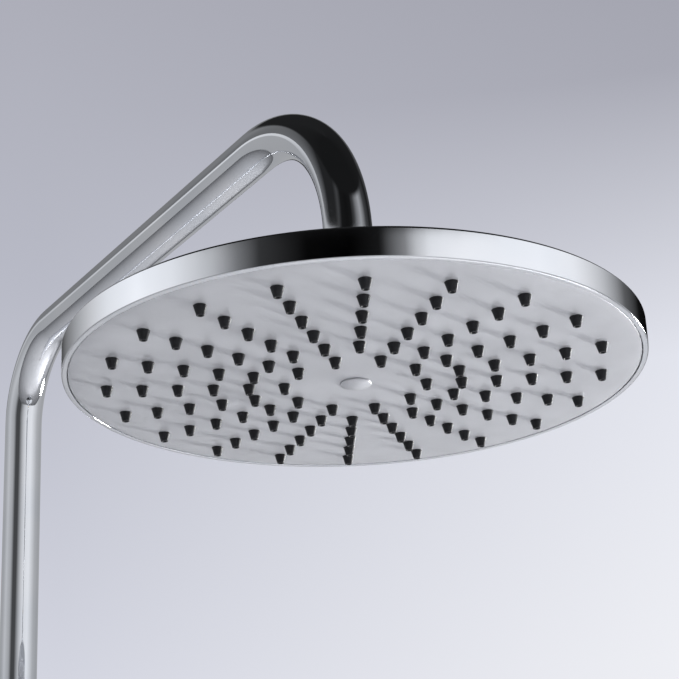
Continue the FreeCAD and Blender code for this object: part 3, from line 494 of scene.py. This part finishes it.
def finish_piece(piece, node, edge_mm, angle=30):
    """Rounds the edges, smooths the curved faces and keeps the flat ones flat, then puts the
    piece in its node's place: on its body, with the finish of the node's slot, and hides the node."""
    if edge_mm:
        rounding = piece.modifiers.new("rounded edges", "BEVEL")
        rounding.width = edge_mm * MM
        rounding.segments = 3
        rounding.limit_method = "ANGLE"
        rounding.angle_limit = math.radians(angle)
        bpy.ops.object.modifier_apply(modifier=rounding.name)
    bpy.ops.object.shade_smooth_by_angle(angle=math.radians(angle))
    weighting = piece.modifiers.new("flat faces stay flat", "WEIGHTED_NORMAL")
    weighting.keep_sharp = True
    bpy.ops.object.modifier_apply(modifier=weighting.name)
    bpy.ops.object.transform_apply(location=True, rotation=True, scale=True)
    piece.data.materials.clear()
    piece.data.materials.append(FINISHES[slots[node]])
    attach(piece, bodies[node])
    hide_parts(node)
    print(piece.name, "faces:", len(piece.data.polygons))
    return piece


# %% [markdown]
# ## The head's shell
#
# The cover, the side band and the bottom lip are one plated moulding. The band is what shows:
# a short upright wall that mirrors the whole room, with a small radius at its top and a rounded
# lip that holds the face plate.

# %% Head shell
SHELL_BORE = 15.3
SHELL_FLAT = 27
SHELL_TOP = 20
SHELL_WALL = 2.4
BAND_HEIGHT = 13
BAND_INSIDE = HEAD_RADIUS - 2.4
COVER_CURVE = 1045              # mm, radius of the domed cover

cover = arc((HEAD_RADIUS - 1, BAND_HEIGHT), (SHELL_FLAT, SHELL_TOP), -COVER_CURVE)
ceiling = arc((SHELL_FLAT, SHELL_TOP - SHELL_WALL), (BAND_INSIDE, BAND_HEIGHT - SHELL_WALL), COVER_CURVE)
shell = spun("head_shell_plated", LIP_CENTRE, [
    (SHELL_BORE, SHELL_TOP - SHELL_WALL),
    (SHELL_FLAT, SHELL_TOP - SHELL_WALL),
    *ceiling,
    (BAND_INSIDE, 0),
    (HEAD_RADIUS - 0.4, 0),
    (HEAD_RADIUS, 0.4),
    (HEAD_RADIUS, BAND_HEIGHT - 1),
    (HEAD_RADIUS - 1, BAND_HEIGHT),
    *cover,
    (SHELL_BORE, SHELL_TOP),
], steps=192)
finish_piece(shell, "head_shell", 0.25)

# %% [markdown]
# ## The face plate
#
# A thin disc, crowned slightly downwards, so that light rolls across it. The nozzles fill its
# holes, so the disc is drawn without them.

# %% Face plate
PLATE_RECESS = 0.3
PLATE_CROWN = 2.7
PLATE_THICKNESS = 2.7
PLATE_RIM = [(118, -0.22), (121, 0.08), (122.3, 0.3)]    # rolled up towards the lip
CROWN_RADIUS = 114
LAND_RADIUS = 7.5
CROWN_CURVE = 3236              # mm, radius of the crown
CROWN_STEPS = 24
LAND_LEVEL = PLATE_RECESS - PLATE_CROWN
PLATE_TOP = 2.3
SCREW_HOLE = 2.15


def crown_level(radius):
    """Height of the plate's underside above the lip at a radius."""
    beyond = max(radius, LAND_RADIUS)
    return LAND_LEVEL + (beyond ** 2 - LAND_RADIUS ** 2) / (2 * CROWN_CURVE)


crown_radii = [
    LAND_RADIUS + (CROWN_RADIUS - LAND_RADIUS) * step / CROWN_STEPS for step in range(CROWN_STEPS + 1)]
underside = [(radius, crown_level(radius)) for radius in crown_radii]
topside = [(radius, level + PLATE_THICKNESS) for radius, level in reversed(underside)]
plate = spun("face_plate_satin", LIP_CENTRE, [
    (SCREW_HOLE, LAND_LEVEL),
    *underside,
    *PLATE_RIM,
    (PLATE_RIM[-1][0], PLATE_TOP),
    *topside,
    (SCREW_HOLE, LAND_LEVEL + PLATE_THICKNESS),
], steps=160)
finish_piece(plate, "face_plate", 0.25)

# %% [markdown]
# ## Nozzles
#
# All nozzles are one moulding of silicone: a sheet behind the plate with a cone through every
# hole. One cone is turned, with a small rolled lip round its mouth, and then copied to every
# place: six rings on twenty rays, with only every other ray on the innermost ring.

# %% One nozzle
NOZZLE_BASE = 2.7
NOZZLE_TIP = 1.7
NOZZLE_LENGTH = 4.1
NOZZLE_MOUTH = 1.0
NOZZLE_BORE = 0.65

nozzle = spun("nozzle", Vector((0, 0, 0)), [
    (NOZZLE_BORE, -NOZZLE_LENGTH + 1.2),
    (NOZZLE_BORE + 0.1, -NOZZLE_LENGTH + 0.45),
    (NOZZLE_MOUTH, -NOZZLE_LENGTH + 0.1),
    (NOZZLE_MOUTH + 0.12, -NOZZLE_LENGTH),
    (NOZZLE_TIP - 0.3, -NOZZLE_LENGTH),
    (NOZZLE_TIP - 0.07, -NOZZLE_LENGTH + 0.12),
    (NOZZLE_TIP, -NOZZLE_LENGTH + 0.4),
    (NOZZLE_BASE - 0.02, -0.2),
    (NOZZLE_BASE + 0.1, 0.0),
    (NOZZLE_BASE + 0.1, PLATE_THICKNESS + 0.1),
    (NOZZLE_BORE, PLATE_THICKNESS + 0.1),
], steps=24)

# %% The sheet behind the plate, and a nozzle at every place
RAY_COUNT = 20
RAY_ANGLE = math.radians(5.7)
RING_COUNT = 6
FIRST_RING = 30.5
RING_SPACING = 15.17
RING_RADII = [FIRST_RING + RING_SPACING * number for number in range(RING_COUNT)]
MAT_THICKNESS = 1.2

sheet = [(radius, level + PLATE_THICKNESS) for radius, level in underside]
mat = spun("nozzle_mat_moulded", LIP_CENTRE, [
    (SCREW_HOLE, LAND_LEVEL + PLATE_THICKNESS),
    *sheet,
    *[(radius, level + MAT_THICKNESS) for radius, level in reversed(sheet)],
    (SCREW_HOLE, LAND_LEVEL + PLATE_THICKNESS + MAT_THICKNESS),
])

copies = []
for ring, radius in enumerate(RING_RADII):
    for ray in range(0, RAY_COUNT, 2 if ring == 0 else 1):
        angle = RAY_ANGLE + FULL_TURN * ray / RAY_COUNT
        copy = nozzle.copy()
        copy.data = nozzle.data.copy()
        copy.location = LIP_CENTRE + Vector((
            radius * math.cos(angle), radius * math.sin(angle), crown_level(radius))) * MM
        bpy.context.scene.collection.objects.link(copy)
        copies.append(copy)
bpy.data.objects.remove(nozzle)
bpy.ops.object.select_all(action="DESELECT")
for item in copies + [mat]:
    item.select_set(True)
bpy.context.view_layer.objects.active = mat
bpy.ops.object.join()
finish_piece(mat, "nozzle_mat", 0)
print("nozzles:", len(copies))

# %% [markdown]
# ## The cap in the middle
#
# A low dome of the same satin plastic hides the screw that pulls the plate to the hub.

# %% Centre cap
CAP_RADIUS = 6.75
CAP_HEIGHT = 2.5
CAP_WALL = 0.7
CAP_BORE = 3.45
CAP_CURVE = (CAP_RADIUS ** 2 + (CAP_HEIGHT - CAP_WALL) ** 2) / (2 * (CAP_HEIGHT - CAP_WALL))

cap = spun("centre_cap_satin", LIP_CENTRE, [
    (0, LAND_LEVEL - CAP_HEIGHT),
    *arc((0, LAND_LEVEL - CAP_HEIGHT), (CAP_RADIUS, LAND_LEVEL - CAP_WALL), -CAP_CURVE),
    (CAP_RADIUS, LAND_LEVEL),
    (CAP_BORE, LAND_LEVEL),
    (CAP_BORE, LAND_LEVEL - CAP_HEIGHT + CAP_WALL),
    (0, LAND_LEVEL - CAP_HEIGHT + CAP_WALL),
], steps=64)
finish_piece(cap, "centre_cap", 0.3)

# %% [markdown]
# ## The bent tube
#
# The riser, the arm and the drop are one length of tube, bent twice. A ring of points is
# extruded along each straight run and spun round the centre of each bend, as the tube bender
# does it, so the section stays round all the way. A solidify modifier then gives it a wall.

# %% Arm tube
TUBE_WALL = 1.2
BEND_STEPS = 32
RISER_BEND = 50
DROP_BEND = 78
NIPPLE_SPIGOT = 4               # what the nipple reaches into the tube's end

riser_low, riser_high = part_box("riser_tube")
tube_low, tube_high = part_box("arm_tube")
TUBE_RADIUS = round((riser_high.x - riser_low.x) / 2 / MM, 3)
riser_line = (riser_low.y + riser_high.y) / 2
drop_line = LIP_CENTRE.y
arm_level = round(tube_high.z, 4) - TUBE_RADIUS * MM
arm_foot = tube_low.z
drop_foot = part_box("arm_nipple")[1].z - NIPPLE_SPIGOT * MM

bpy.ops.object.select_all(action="DESELECT")
bpy.ops.mesh.primitive_circle_add(
    vertices=ROUND_THE_RISER, radius=TUBE_RADIUS * MM, location=(0, riser_line, arm_foot))
tube = bpy.context.object
tube.name = "arm_tube_bent"
bpy.ops.object.mode_set(mode="EDIT")
bpy.ops.mesh.select_all(action="SELECT")
run_up = arm_level - RISER_BEND * MM - arm_foot
bpy.ops.mesh.extrude_region_move(TRANSFORM_OT_translate={"value": (0, 0, run_up)})
bpy.ops.mesh.spin(
    steps=BEND_STEPS, angle=-math.pi / 2, axis=(1, 0, 0),
    center=(0, riser_line - RISER_BEND * MM, arm_level - RISER_BEND * MM))
run_out = riser_line - drop_line - (RISER_BEND + DROP_BEND) * MM
bpy.ops.mesh.extrude_region_move(TRANSFORM_OT_translate={"value": (0, -run_out, 0)})
bpy.ops.mesh.spin(
    steps=BEND_STEPS, angle=-math.pi / 2, axis=(1, 0, 0),
    center=(0, drop_line + DROP_BEND * MM, arm_level - DROP_BEND * MM))
run_down = arm_level - DROP_BEND * MM - drop_foot
bpy.ops.mesh.extrude_region_move(TRANSFORM_OT_translate={"value": (0, 0, -run_down)})
bpy.ops.mesh.select_all(action="SELECT")
bpy.ops.mesh.remove_doubles(threshold=0.002 * MM)
bpy.ops.mesh.normals_make_consistent(inside=False)
bpy.ops.object.mode_set(mode="OBJECT")
print("tube end:", [round(max(v.co[axis] for v in tube.data.vertices), 4) for axis in range(3)])

wall = tube.modifiers.new("tube wall", "SOLIDIFY")
wall.thickness = TUBE_WALL * MM
wall.offset = -1
bpy.ops.object.modifier_apply(modifier=wall.name)
finish_piece(tube, "arm_tube", 0.2, angle=45)

# %% [markdown]
# ## The lower tube and the sleeve
#
# The riser goes on below the bracket as a second straight tube, so that the upper one can turn.
# A turned sleeve with chamfered ends joins the two: the lower tube is soldered into it, and the
# upper one turns on its seals above a narrow stop.

# %% Lower riser and sleeve
RISER_LINE = Vector((0, riser_line, 0))
TUBE_BORE = TUBE_RADIUS - TUBE_WALL
RUNNING_GAP = 0.05
SOLDER_GAP = 0.02
SLIDING_BORE = TUBE_RADIUS + RUNNING_GAP
SLEEVE_RADIUS = 14
SLEEVE_EDGE = 1
SLEEVE_STOP = 3
GRUB_RADIUS = 2
GRUB_HOLE = GRUB_RADIUS + RUNNING_GAP
GRUB_RECESS = 0.4

sleeve_low, sleeve_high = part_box("joint_sleeve")
riser_foot = riser_low.z / MM
riser_top = riser_high.z / MM
sleeve_foot = sleeve_low.z / MM
sleeve_top = sleeve_high.z / MM
riser = spun("riser_tube_drawn", RISER_LINE, [
    (TUBE_BORE, riser_foot),
    (TUBE_RADIUS, riser_foot),
    (TUBE_RADIUS, riser_top),
    (TUBE_BORE, riser_top),
])
finish_piece(riser, "riser_tube", 0.2)

sleeve = spun("joint_sleeve_turned", RISER_LINE, [
    (TUBE_RADIUS + SOLDER_GAP, sleeve_foot),
    (SLEEVE_RADIUS - SLEEVE_EDGE, sleeve_foot),
    (SLEEVE_RADIUS, sleeve_foot + SLEEVE_EDGE),
    (SLEEVE_RADIUS, sleeve_top - SLEEVE_EDGE),
    (SLEEVE_RADIUS - SLEEVE_EDGE, sleeve_top),
    (SLIDING_BORE, sleeve_top),
    (SLIDING_BORE, riser_top + SLEEVE_STOP),
    (TUBE_BORE, riser_top + SLEEVE_STOP),
    (TUBE_BORE, riser_top),
    (TUBE_RADIUS + SOLDER_GAP, riser_top),
])
SLEEVE_SCREW = Vector((0, riser_line, sleeve_high.z - 6 * MM))
combine(sleeve, bar("drill", SLEEVE_SCREW, -OUT_OF_WALL, GRUB_HOLE, 2 * SLEEVE_RADIUS), "DIFFERENCE")
finish_piece(sleeve, "joint_sleeve", 0.25)

# %% [markdown]
# ## The wall bracket
#
# A screwed-on plate carries a spigot, and the holder slides over it: a ring round the riser and
# the post behind it, in one casting. Where ring and post meet there is a small fillet, which
# the bevel leaves. A plastic bush with two flanges lines the ring.

# %% Holder and bush
RING_RADIUS = 16.5
RING_HALF = 11
RING_EDGE = 1
BUSH_WALL = 2
BUSH_FLANGE = 14.6
BUSH_FLANGE_THICKNESS = 1
RING_BORE = SLIDING_BORE + BUSH_WALL + RUNNING_GAP
POST_RADIUS = 8
POST_SCREW_FROM_WALL = 14
SPIGOT_RADIUS = 6
SPIGOT_LENGTH = 20

post_end = Vector((0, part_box("bracket_holder")[1].y, 0))
holder = spun("bracket_holder_cast", RISER_LINE, [
    (0, -RING_HALF),
    (RING_RADIUS - RING_EDGE, -RING_HALF),
    (RING_RADIUS, RING_EDGE - RING_HALF),
    (RING_RADIUS, RING_HALF - RING_EDGE),
    (RING_RADIUS - RING_EDGE, RING_HALF),
    (0, RING_HALF),
])
post_length = (post_end - RISER_LINE).length / MM
combine(holder, bar("post", post_end, OUT_OF_WALL, POST_RADIUS, post_length, ROUND_THE_RISER), "UNION")
for name, start, axis, radius, length in (
        ("ring bore", RISER_LINE - UP * RING_HALF * 2 * MM, UP, RING_BORE, 4 * RING_HALF),
        ("socket", post_end - OUT_OF_WALL * MM, OUT_OF_WALL, SPIGOT_RADIUS + RUNNING_GAP, SPIGOT_LENGTH + 1),
        ("post drill", OUT_OF_WALL * POST_SCREW_FROM_WALL * MM, -UP, GRUB_HOLE, 2 * POST_RADIUS),
        ("ring drill", RISER_LINE, OUT_OF_WALL, GRUB_HOLE, 2 * RING_RADIUS)):
    combine(holder, bar(name, start, axis, radius, length, ROUND_THE_RISER), "DIFFERENCE")
finish_piece(holder, "bracket_holder", 0.4, angle=35)

flange_top = RING_HALF + BUSH_FLANGE_THICKNESS
bush = spun("bracket_bush_turned", RISER_LINE, [
    (SLIDING_BORE, -flange_top),
    (BUSH_FLANGE, -flange_top),
    (BUSH_FLANGE, -RING_HALF),
    (SLIDING_BORE + BUSH_WALL, -RING_HALF),
    (SLIDING_BORE + BUSH_WALL, RING_HALF),
    (BUSH_FLANGE, RING_HALF),
    (BUSH_FLANGE, flange_top),
    (SLIDING_BORE, flange_top),
])
finish_piece(bush, "bracket_bush", 0.15)

# %% [markdown]
# The plate is a plain disc of steel with two screw holes, and the rosette that slides over it
# is spun from sheet: a thin cup with a rolled front edge and a short hub on the post.

# %% Wall plate and rosette
WALL = Vector((0, 0, 0))
WALL_PLATE_RADIUS = 24
WALL_PLATE_THICKNESS = 4
WALL_SCREW_SPACING = 30
WALL_SCREW_HOLE = 2.6
ROSETTE_RADIUS = 27
ROSETTE_DEPTH = 9
ROSETTE_WALL = 1.5
ROSETTE_ROUND = 2.5
ROSETTE_HUB = 11
ROSETTE_HUB_BOTTOM = 4.5
ROSETTE_GROOVE = (6.05, 7.45)

wall_plate = spun("wall_plate_turned", WALL, [
    (0, 0),
    (WALL_PLATE_RADIUS, 0),
    (WALL_PLATE_RADIUS, WALL_PLATE_THICKNESS),
    (SPIGOT_RADIUS, WALL_PLATE_THICKNESS),
    (SPIGOT_RADIUS, WALL_PLATE_THICKNESS + SPIGOT_LENGTH),
    (0, WALL_PLATE_THICKNESS + SPIGOT_LENGTH),
], axis=OUT_OF_WALL)
for side in (-1, 1):
    start = Vector((side * WALL_SCREW_SPACING / 2, WALL_PLATE_THICKNESS, 0)) * MM
    combine(wall_plate, bar(
        "screw hole", start, OUT_OF_WALL, WALL_SCREW_HOLE, 3 * WALL_PLATE_THICKNESS), "DIFFERENCE")
finish_piece(wall_plate, "wall_plate", 0.25)

rosette_back = -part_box("rosette")[1].y / MM
rosette_inside = ROSETTE_DEPTH - ROSETTE_WALL
rosette_bore = POST_RADIUS + RUNNING_GAP
groove_floor = rosette_bore + ROSETTE_GROOVE[1] - ROSETTE_GROOVE[0]
rosette = spun("rosette_spun", WALL, [
    (ROSETTE_RADIUS - ROSETTE_WALL, rosette_back),
    (ROSETTE_RADIUS, rosette_back),
    (ROSETTE_RADIUS, ROSETTE_DEPTH - ROSETTE_ROUND),
    *arc((ROSETTE_RADIUS, ROSETTE_DEPTH - ROSETTE_ROUND),
         (ROSETTE_RADIUS - ROSETTE_ROUND, ROSETTE_DEPTH), -ROSETTE_ROUND),
    (rosette_bore, ROSETTE_DEPTH),
    (rosette_bore, ROSETTE_GROOVE[1]),
    (groove_floor, ROSETTE_GROOVE[1]),
    (groove_floor, ROSETTE_GROOVE[0]),
    (rosette_bore, ROSETTE_GROOVE[0]),
    (rosette_bore, ROSETTE_HUB_BOTTOM),
    (ROSETTE_HUB, ROSETTE_HUB_BOTTOM),
    (ROSETTE_HUB, rosette_inside),
    (ROSETTE_RADIUS - ROSETTE_WALL, rosette_inside),
], axis=OUT_OF_WALL, steps=128)
finish_piece(rosette, "rosette", 0.2)

# %% [markdown]
# ## Lock screws
#
# Three short set screws lock the post, the bush and the sleeve. Each sits a little below the
# surface and shows only its hexagon socket, so a socket is sunk into a short bar.

# %% Lock screws
SOCKET_CORNERS = 2 / math.sqrt(3)       # radius of a socket 2 mm across its flats
SOCKET_DEPTH = 1.4

for name, mouth, axis, length in (
        ("post_lock_screw", (0, -POST_SCREW_FROM_WALL, GRUB_RECESS - POST_RADIUS), -UP, 3.55),
        ("bush_lock_screw", (0, riser_line / MM - RING_RADIUS + GRUB_RECESS, 0), OUT_OF_WALL, 3.0),
        ("sleeve_lock_screw", (0, riser_line / MM + SLEEVE_RADIUS - GRUB_RECESS, SLEEVE_SCREW.z / MM),
         -OUT_OF_WALL, 2.3)):
    mouth = Vector(mouth) * MM
    screw = bar(name + "_socketed", mouth - axis * length * MM, axis, GRUB_RADIUS, length, sides=32)
    socket = bar("socket", mouth - axis * SOCKET_DEPTH * MM, axis, SOCKET_CORNERS, 2 * SOCKET_DEPTH, sides=6)
    combine(screw, socket, "DIFFERENCE")
    finish_piece(screw, name, 0.12)

# %% [markdown]
# ## Nuts
#
# A nut starts as a hexagonal bar whose ends are turned to a cone, which leaves the curved
# corners that every nut shows. So its section is spun first, out past the corners, and a
# six-sided bar trims the flats.

# %% Trim a turned blank to six flats
FACE_SHARE = 0.49               # radius of the turned face, as a share of the flats
CORNER_SHARE = 0.6


def nut_outline(flats, bottom, top):
    """The outside of a nut's section, from its bottom face up to its top one."""
    face, corner = flats * FACE_SHARE, flats * CORNER_SHARE
    slope = (corner - face) / 2
    return [(face, bottom), (corner, bottom + slope), (corner, top - slope), (face, top)]


def trim_to_flats(piece, centre, flats, bottom, top):
    start = centre + UP * (bottom - 1) * MM
    blank = bar("hexagon", start, UP, flats / math.sqrt(3), top - bottom + 2, sides=6)
    bpy.ops.transform.rotate(value=math.pi / 2, orient_axis="Z", center_override=centre)
    combine(piece, blank, "INTERSECT")


# %% [markdown]
# The union nut at the foot screws onto the outlet below. Its thread shows from underneath, as
# rings with the pitch of a pipe thread. The tail that it holds ends in a flat collar with a
# rubber washer under it.

# %% Inlet tail, washer and union nut
TAIL_BORE = 7
TAIL_COLLAR = 11.9
TAIL_NECK = 10
NUT_FLATS = 30
THREAD_RADIUS = 12.0585
THREAD_DEPTH = 0.9
THREAD_PITCH = 1.814
THREAD_TURNS = 5

tail_foot, tail_top = [corner.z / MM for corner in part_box("inlet_tail")]
washer_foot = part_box("inlet_washer")[0].z / MM
nut_foot, nut_top = [corner.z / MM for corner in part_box("union_nut")]
tail = spun("inlet_tail_turned", RISER_LINE, [
    (TAIL_BORE, tail_foot),
    (TAIL_COLLAR, tail_foot),
    (TAIL_COLLAR, tail_foot + 4),
    (TAIL_NECK, tail_foot + 4),
    (TAIL_NECK, riser_foot - 3),
    (TUBE_RADIUS, riser_foot - 3),
    (TUBE_RADIUS, riser_foot),
    (TUBE_BORE - SOLDER_GAP, riser_foot),
    (TUBE_BORE - SOLDER_GAP, tail_top),
    (TAIL_BORE, tail_top),
])
finish_piece(tail, "inlet_tail", 0.25)

washer = spun("inlet_washer_cut", RISER_LINE, [
    (TAIL_BORE, washer_foot),
    (11.6, washer_foot),
    (11.6, tail_foot),
    (TAIL_BORE, tail_foot),
])
finish_piece(washer, "inlet_washer", 0.2)

thread = []
for number in range(THREAD_TURNS):
    crest = nut_foot + 9.5 - number * THREAD_PITCH
    thread += [(THREAD_RADIUS, crest), (THREAD_RADIUS + THREAD_DEPTH, crest - THREAD_PITCH / 2)]
union_nut = spun("union_nut_milled", RISER_LINE, [
    *nut_outline(NUT_FLATS, nut_foot, nut_top),
    (TAIL_NECK + 0.3, nut_top),
    (TAIL_NECK + 0.3, nut_top - 5.5),
    (12.4, nut_top - 5.5),
    (12.4, nut_foot + 9.5),
    *thread,
    (THREAD_RADIUS, nut_foot),
])
trim_to_flats(union_nut, RISER_LINE, NUT_FLATS, nut_foot, nut_top)
finish_piece(union_nut, "union_nut", 0.2, angle=25)

# %% [markdown]
# ## The ball joint
#
# The tube ends in a brass nipple that screws into the ball. The ball has six flats above its
# neck, and a large nut closes over it on the head's hub, so that the head can spin and tilt.
# A flatter nut clamps the hub in the shell.

# %% Ball, its nut and the hub's lock nut
BALL_CENTRE = Vector((0, LIP_CENTRE.y, LIP_CENTRE.z + 32 * MM))
BALL_RADIUS = 11
BALL_BORE = 4
BALL_NECK = 7
BALL_FLATS = 24
BALL_FLATS_FROM, BALL_FLATS_TO = 14, 29
BALL_THREAD = 9.95
BALL_THREAD_FLOOR = 18
CUP_RADIUS = 12.6
CUP_MOUTH = 10.85
BALL_NUT_FLATS = 35
BALL_NUT_FROM, BALL_NUT_TO = -6.4, 8.5
HUB_THREAD = 15.05
LOCK_NUT_FLATS = 38
LOCK_NUT_HEIGHT = 5

ball_end = math.sqrt(BALL_RADIUS ** 2 - BALL_BORE ** 2)
shoulder = math.sqrt(BALL_RADIUS ** 2 - BALL_NECK ** 2)
ball = spun("swivel_ball_turned", BALL_CENTRE, [
    (BALL_BORE, -ball_end),
    *arc((BALL_BORE, -ball_end), (BALL_NECK, shoulder), -BALL_RADIUS, steps=32),
    (BALL_NECK, BALL_FLATS_FROM),
    *nut_outline(BALL_FLATS, BALL_FLATS_FROM, BALL_FLATS_TO),
    (BALL_THREAD, BALL_FLATS_TO),
    (BALL_THREAD, BALL_THREAD_FLOOR),
    (BALL_BORE, BALL_THREAD_FLOOR),
])
trim_to_flats(ball, BALL_CENTRE, BALL_FLATS, -BALL_RADIUS, BALL_FLATS_TO)
finish_piece(ball, "swivel_ball", 0.25, angle=25)

mouth_level = math.sqrt(CUP_RADIUS ** 2 - CUP_MOUTH ** 2)
cup_floor = 0.3
cup_edge = math.sqrt(CUP_RADIUS ** 2 - cup_floor ** 2)
ball_nut = spun("ball_nut_milled", BALL_CENTRE, [
    (HUB_THREAD, BALL_NUT_FROM),
    *nut_outline(BALL_NUT_FLATS, BALL_NUT_FROM, BALL_NUT_TO),
    (CUP_MOUTH, BALL_NUT_TO),
    (CUP_MOUTH, mouth_level),
    *arc((CUP_MOUTH, mouth_level), (cup_edge, cup_floor), CUP_RADIUS),
    (HUB_THREAD, cup_floor),
])
trim_to_flats(ball_nut, BALL_CENTRE, BALL_NUT_FLATS, BALL_NUT_FROM, BALL_NUT_TO)
finish_piece(ball_nut, "ball_nut", 0.3, angle=25)

lock_nut_to = SHELL_TOP + LOCK_NUT_HEIGHT
lock_nut = spun("hub_lock_nut_milled", LIP_CENTRE, [
    (HUB_THREAD, SHELL_TOP),
    *nut_outline(LOCK_NUT_FLATS, SHELL_TOP, lock_nut_to),
    (HUB_THREAD, lock_nut_to),
])
trim_to_flats(lock_nut, LIP_CENTRE, LOCK_NUT_FLATS, SHELL_TOP, lock_nut_to)
finish_piece(lock_nut, "hub_lock_nut", 0.25, angle=25)

# %% The nipple that ends the tube
NIPPLE_BORE = 6.5
NIPPLE_COLLAR = 11.8
NIPPLE_THREAD = BALL_THREAD - RUNNING_GAP
COLLAR_FROM, COLLAR_TO = 29.3, 31.3

nipple = spun("arm_nipple_turned", BALL_CENTRE, [
    (NIPPLE_BORE, BALL_THREAD_FLOOR + 2),
    (NIPPLE_THREAD, BALL_THREAD_FLOOR + 2),
    (NIPPLE_THREAD, COLLAR_FROM),
    (NIPPLE_COLLAR, COLLAR_FROM),
    (NIPPLE_COLLAR, COLLAR_TO),
    (TUBE_BORE - SOLDER_GAP, COLLAR_TO),
    (TUBE_BORE - SOLDER_GAP, COLLAR_TO + NIPPLE_SPIGOT),
    (NIPPLE_BORE, COLLAR_TO + NIPPLE_SPIGOT),
])
finish_piece(nipple, "arm_nipple", 0.2)
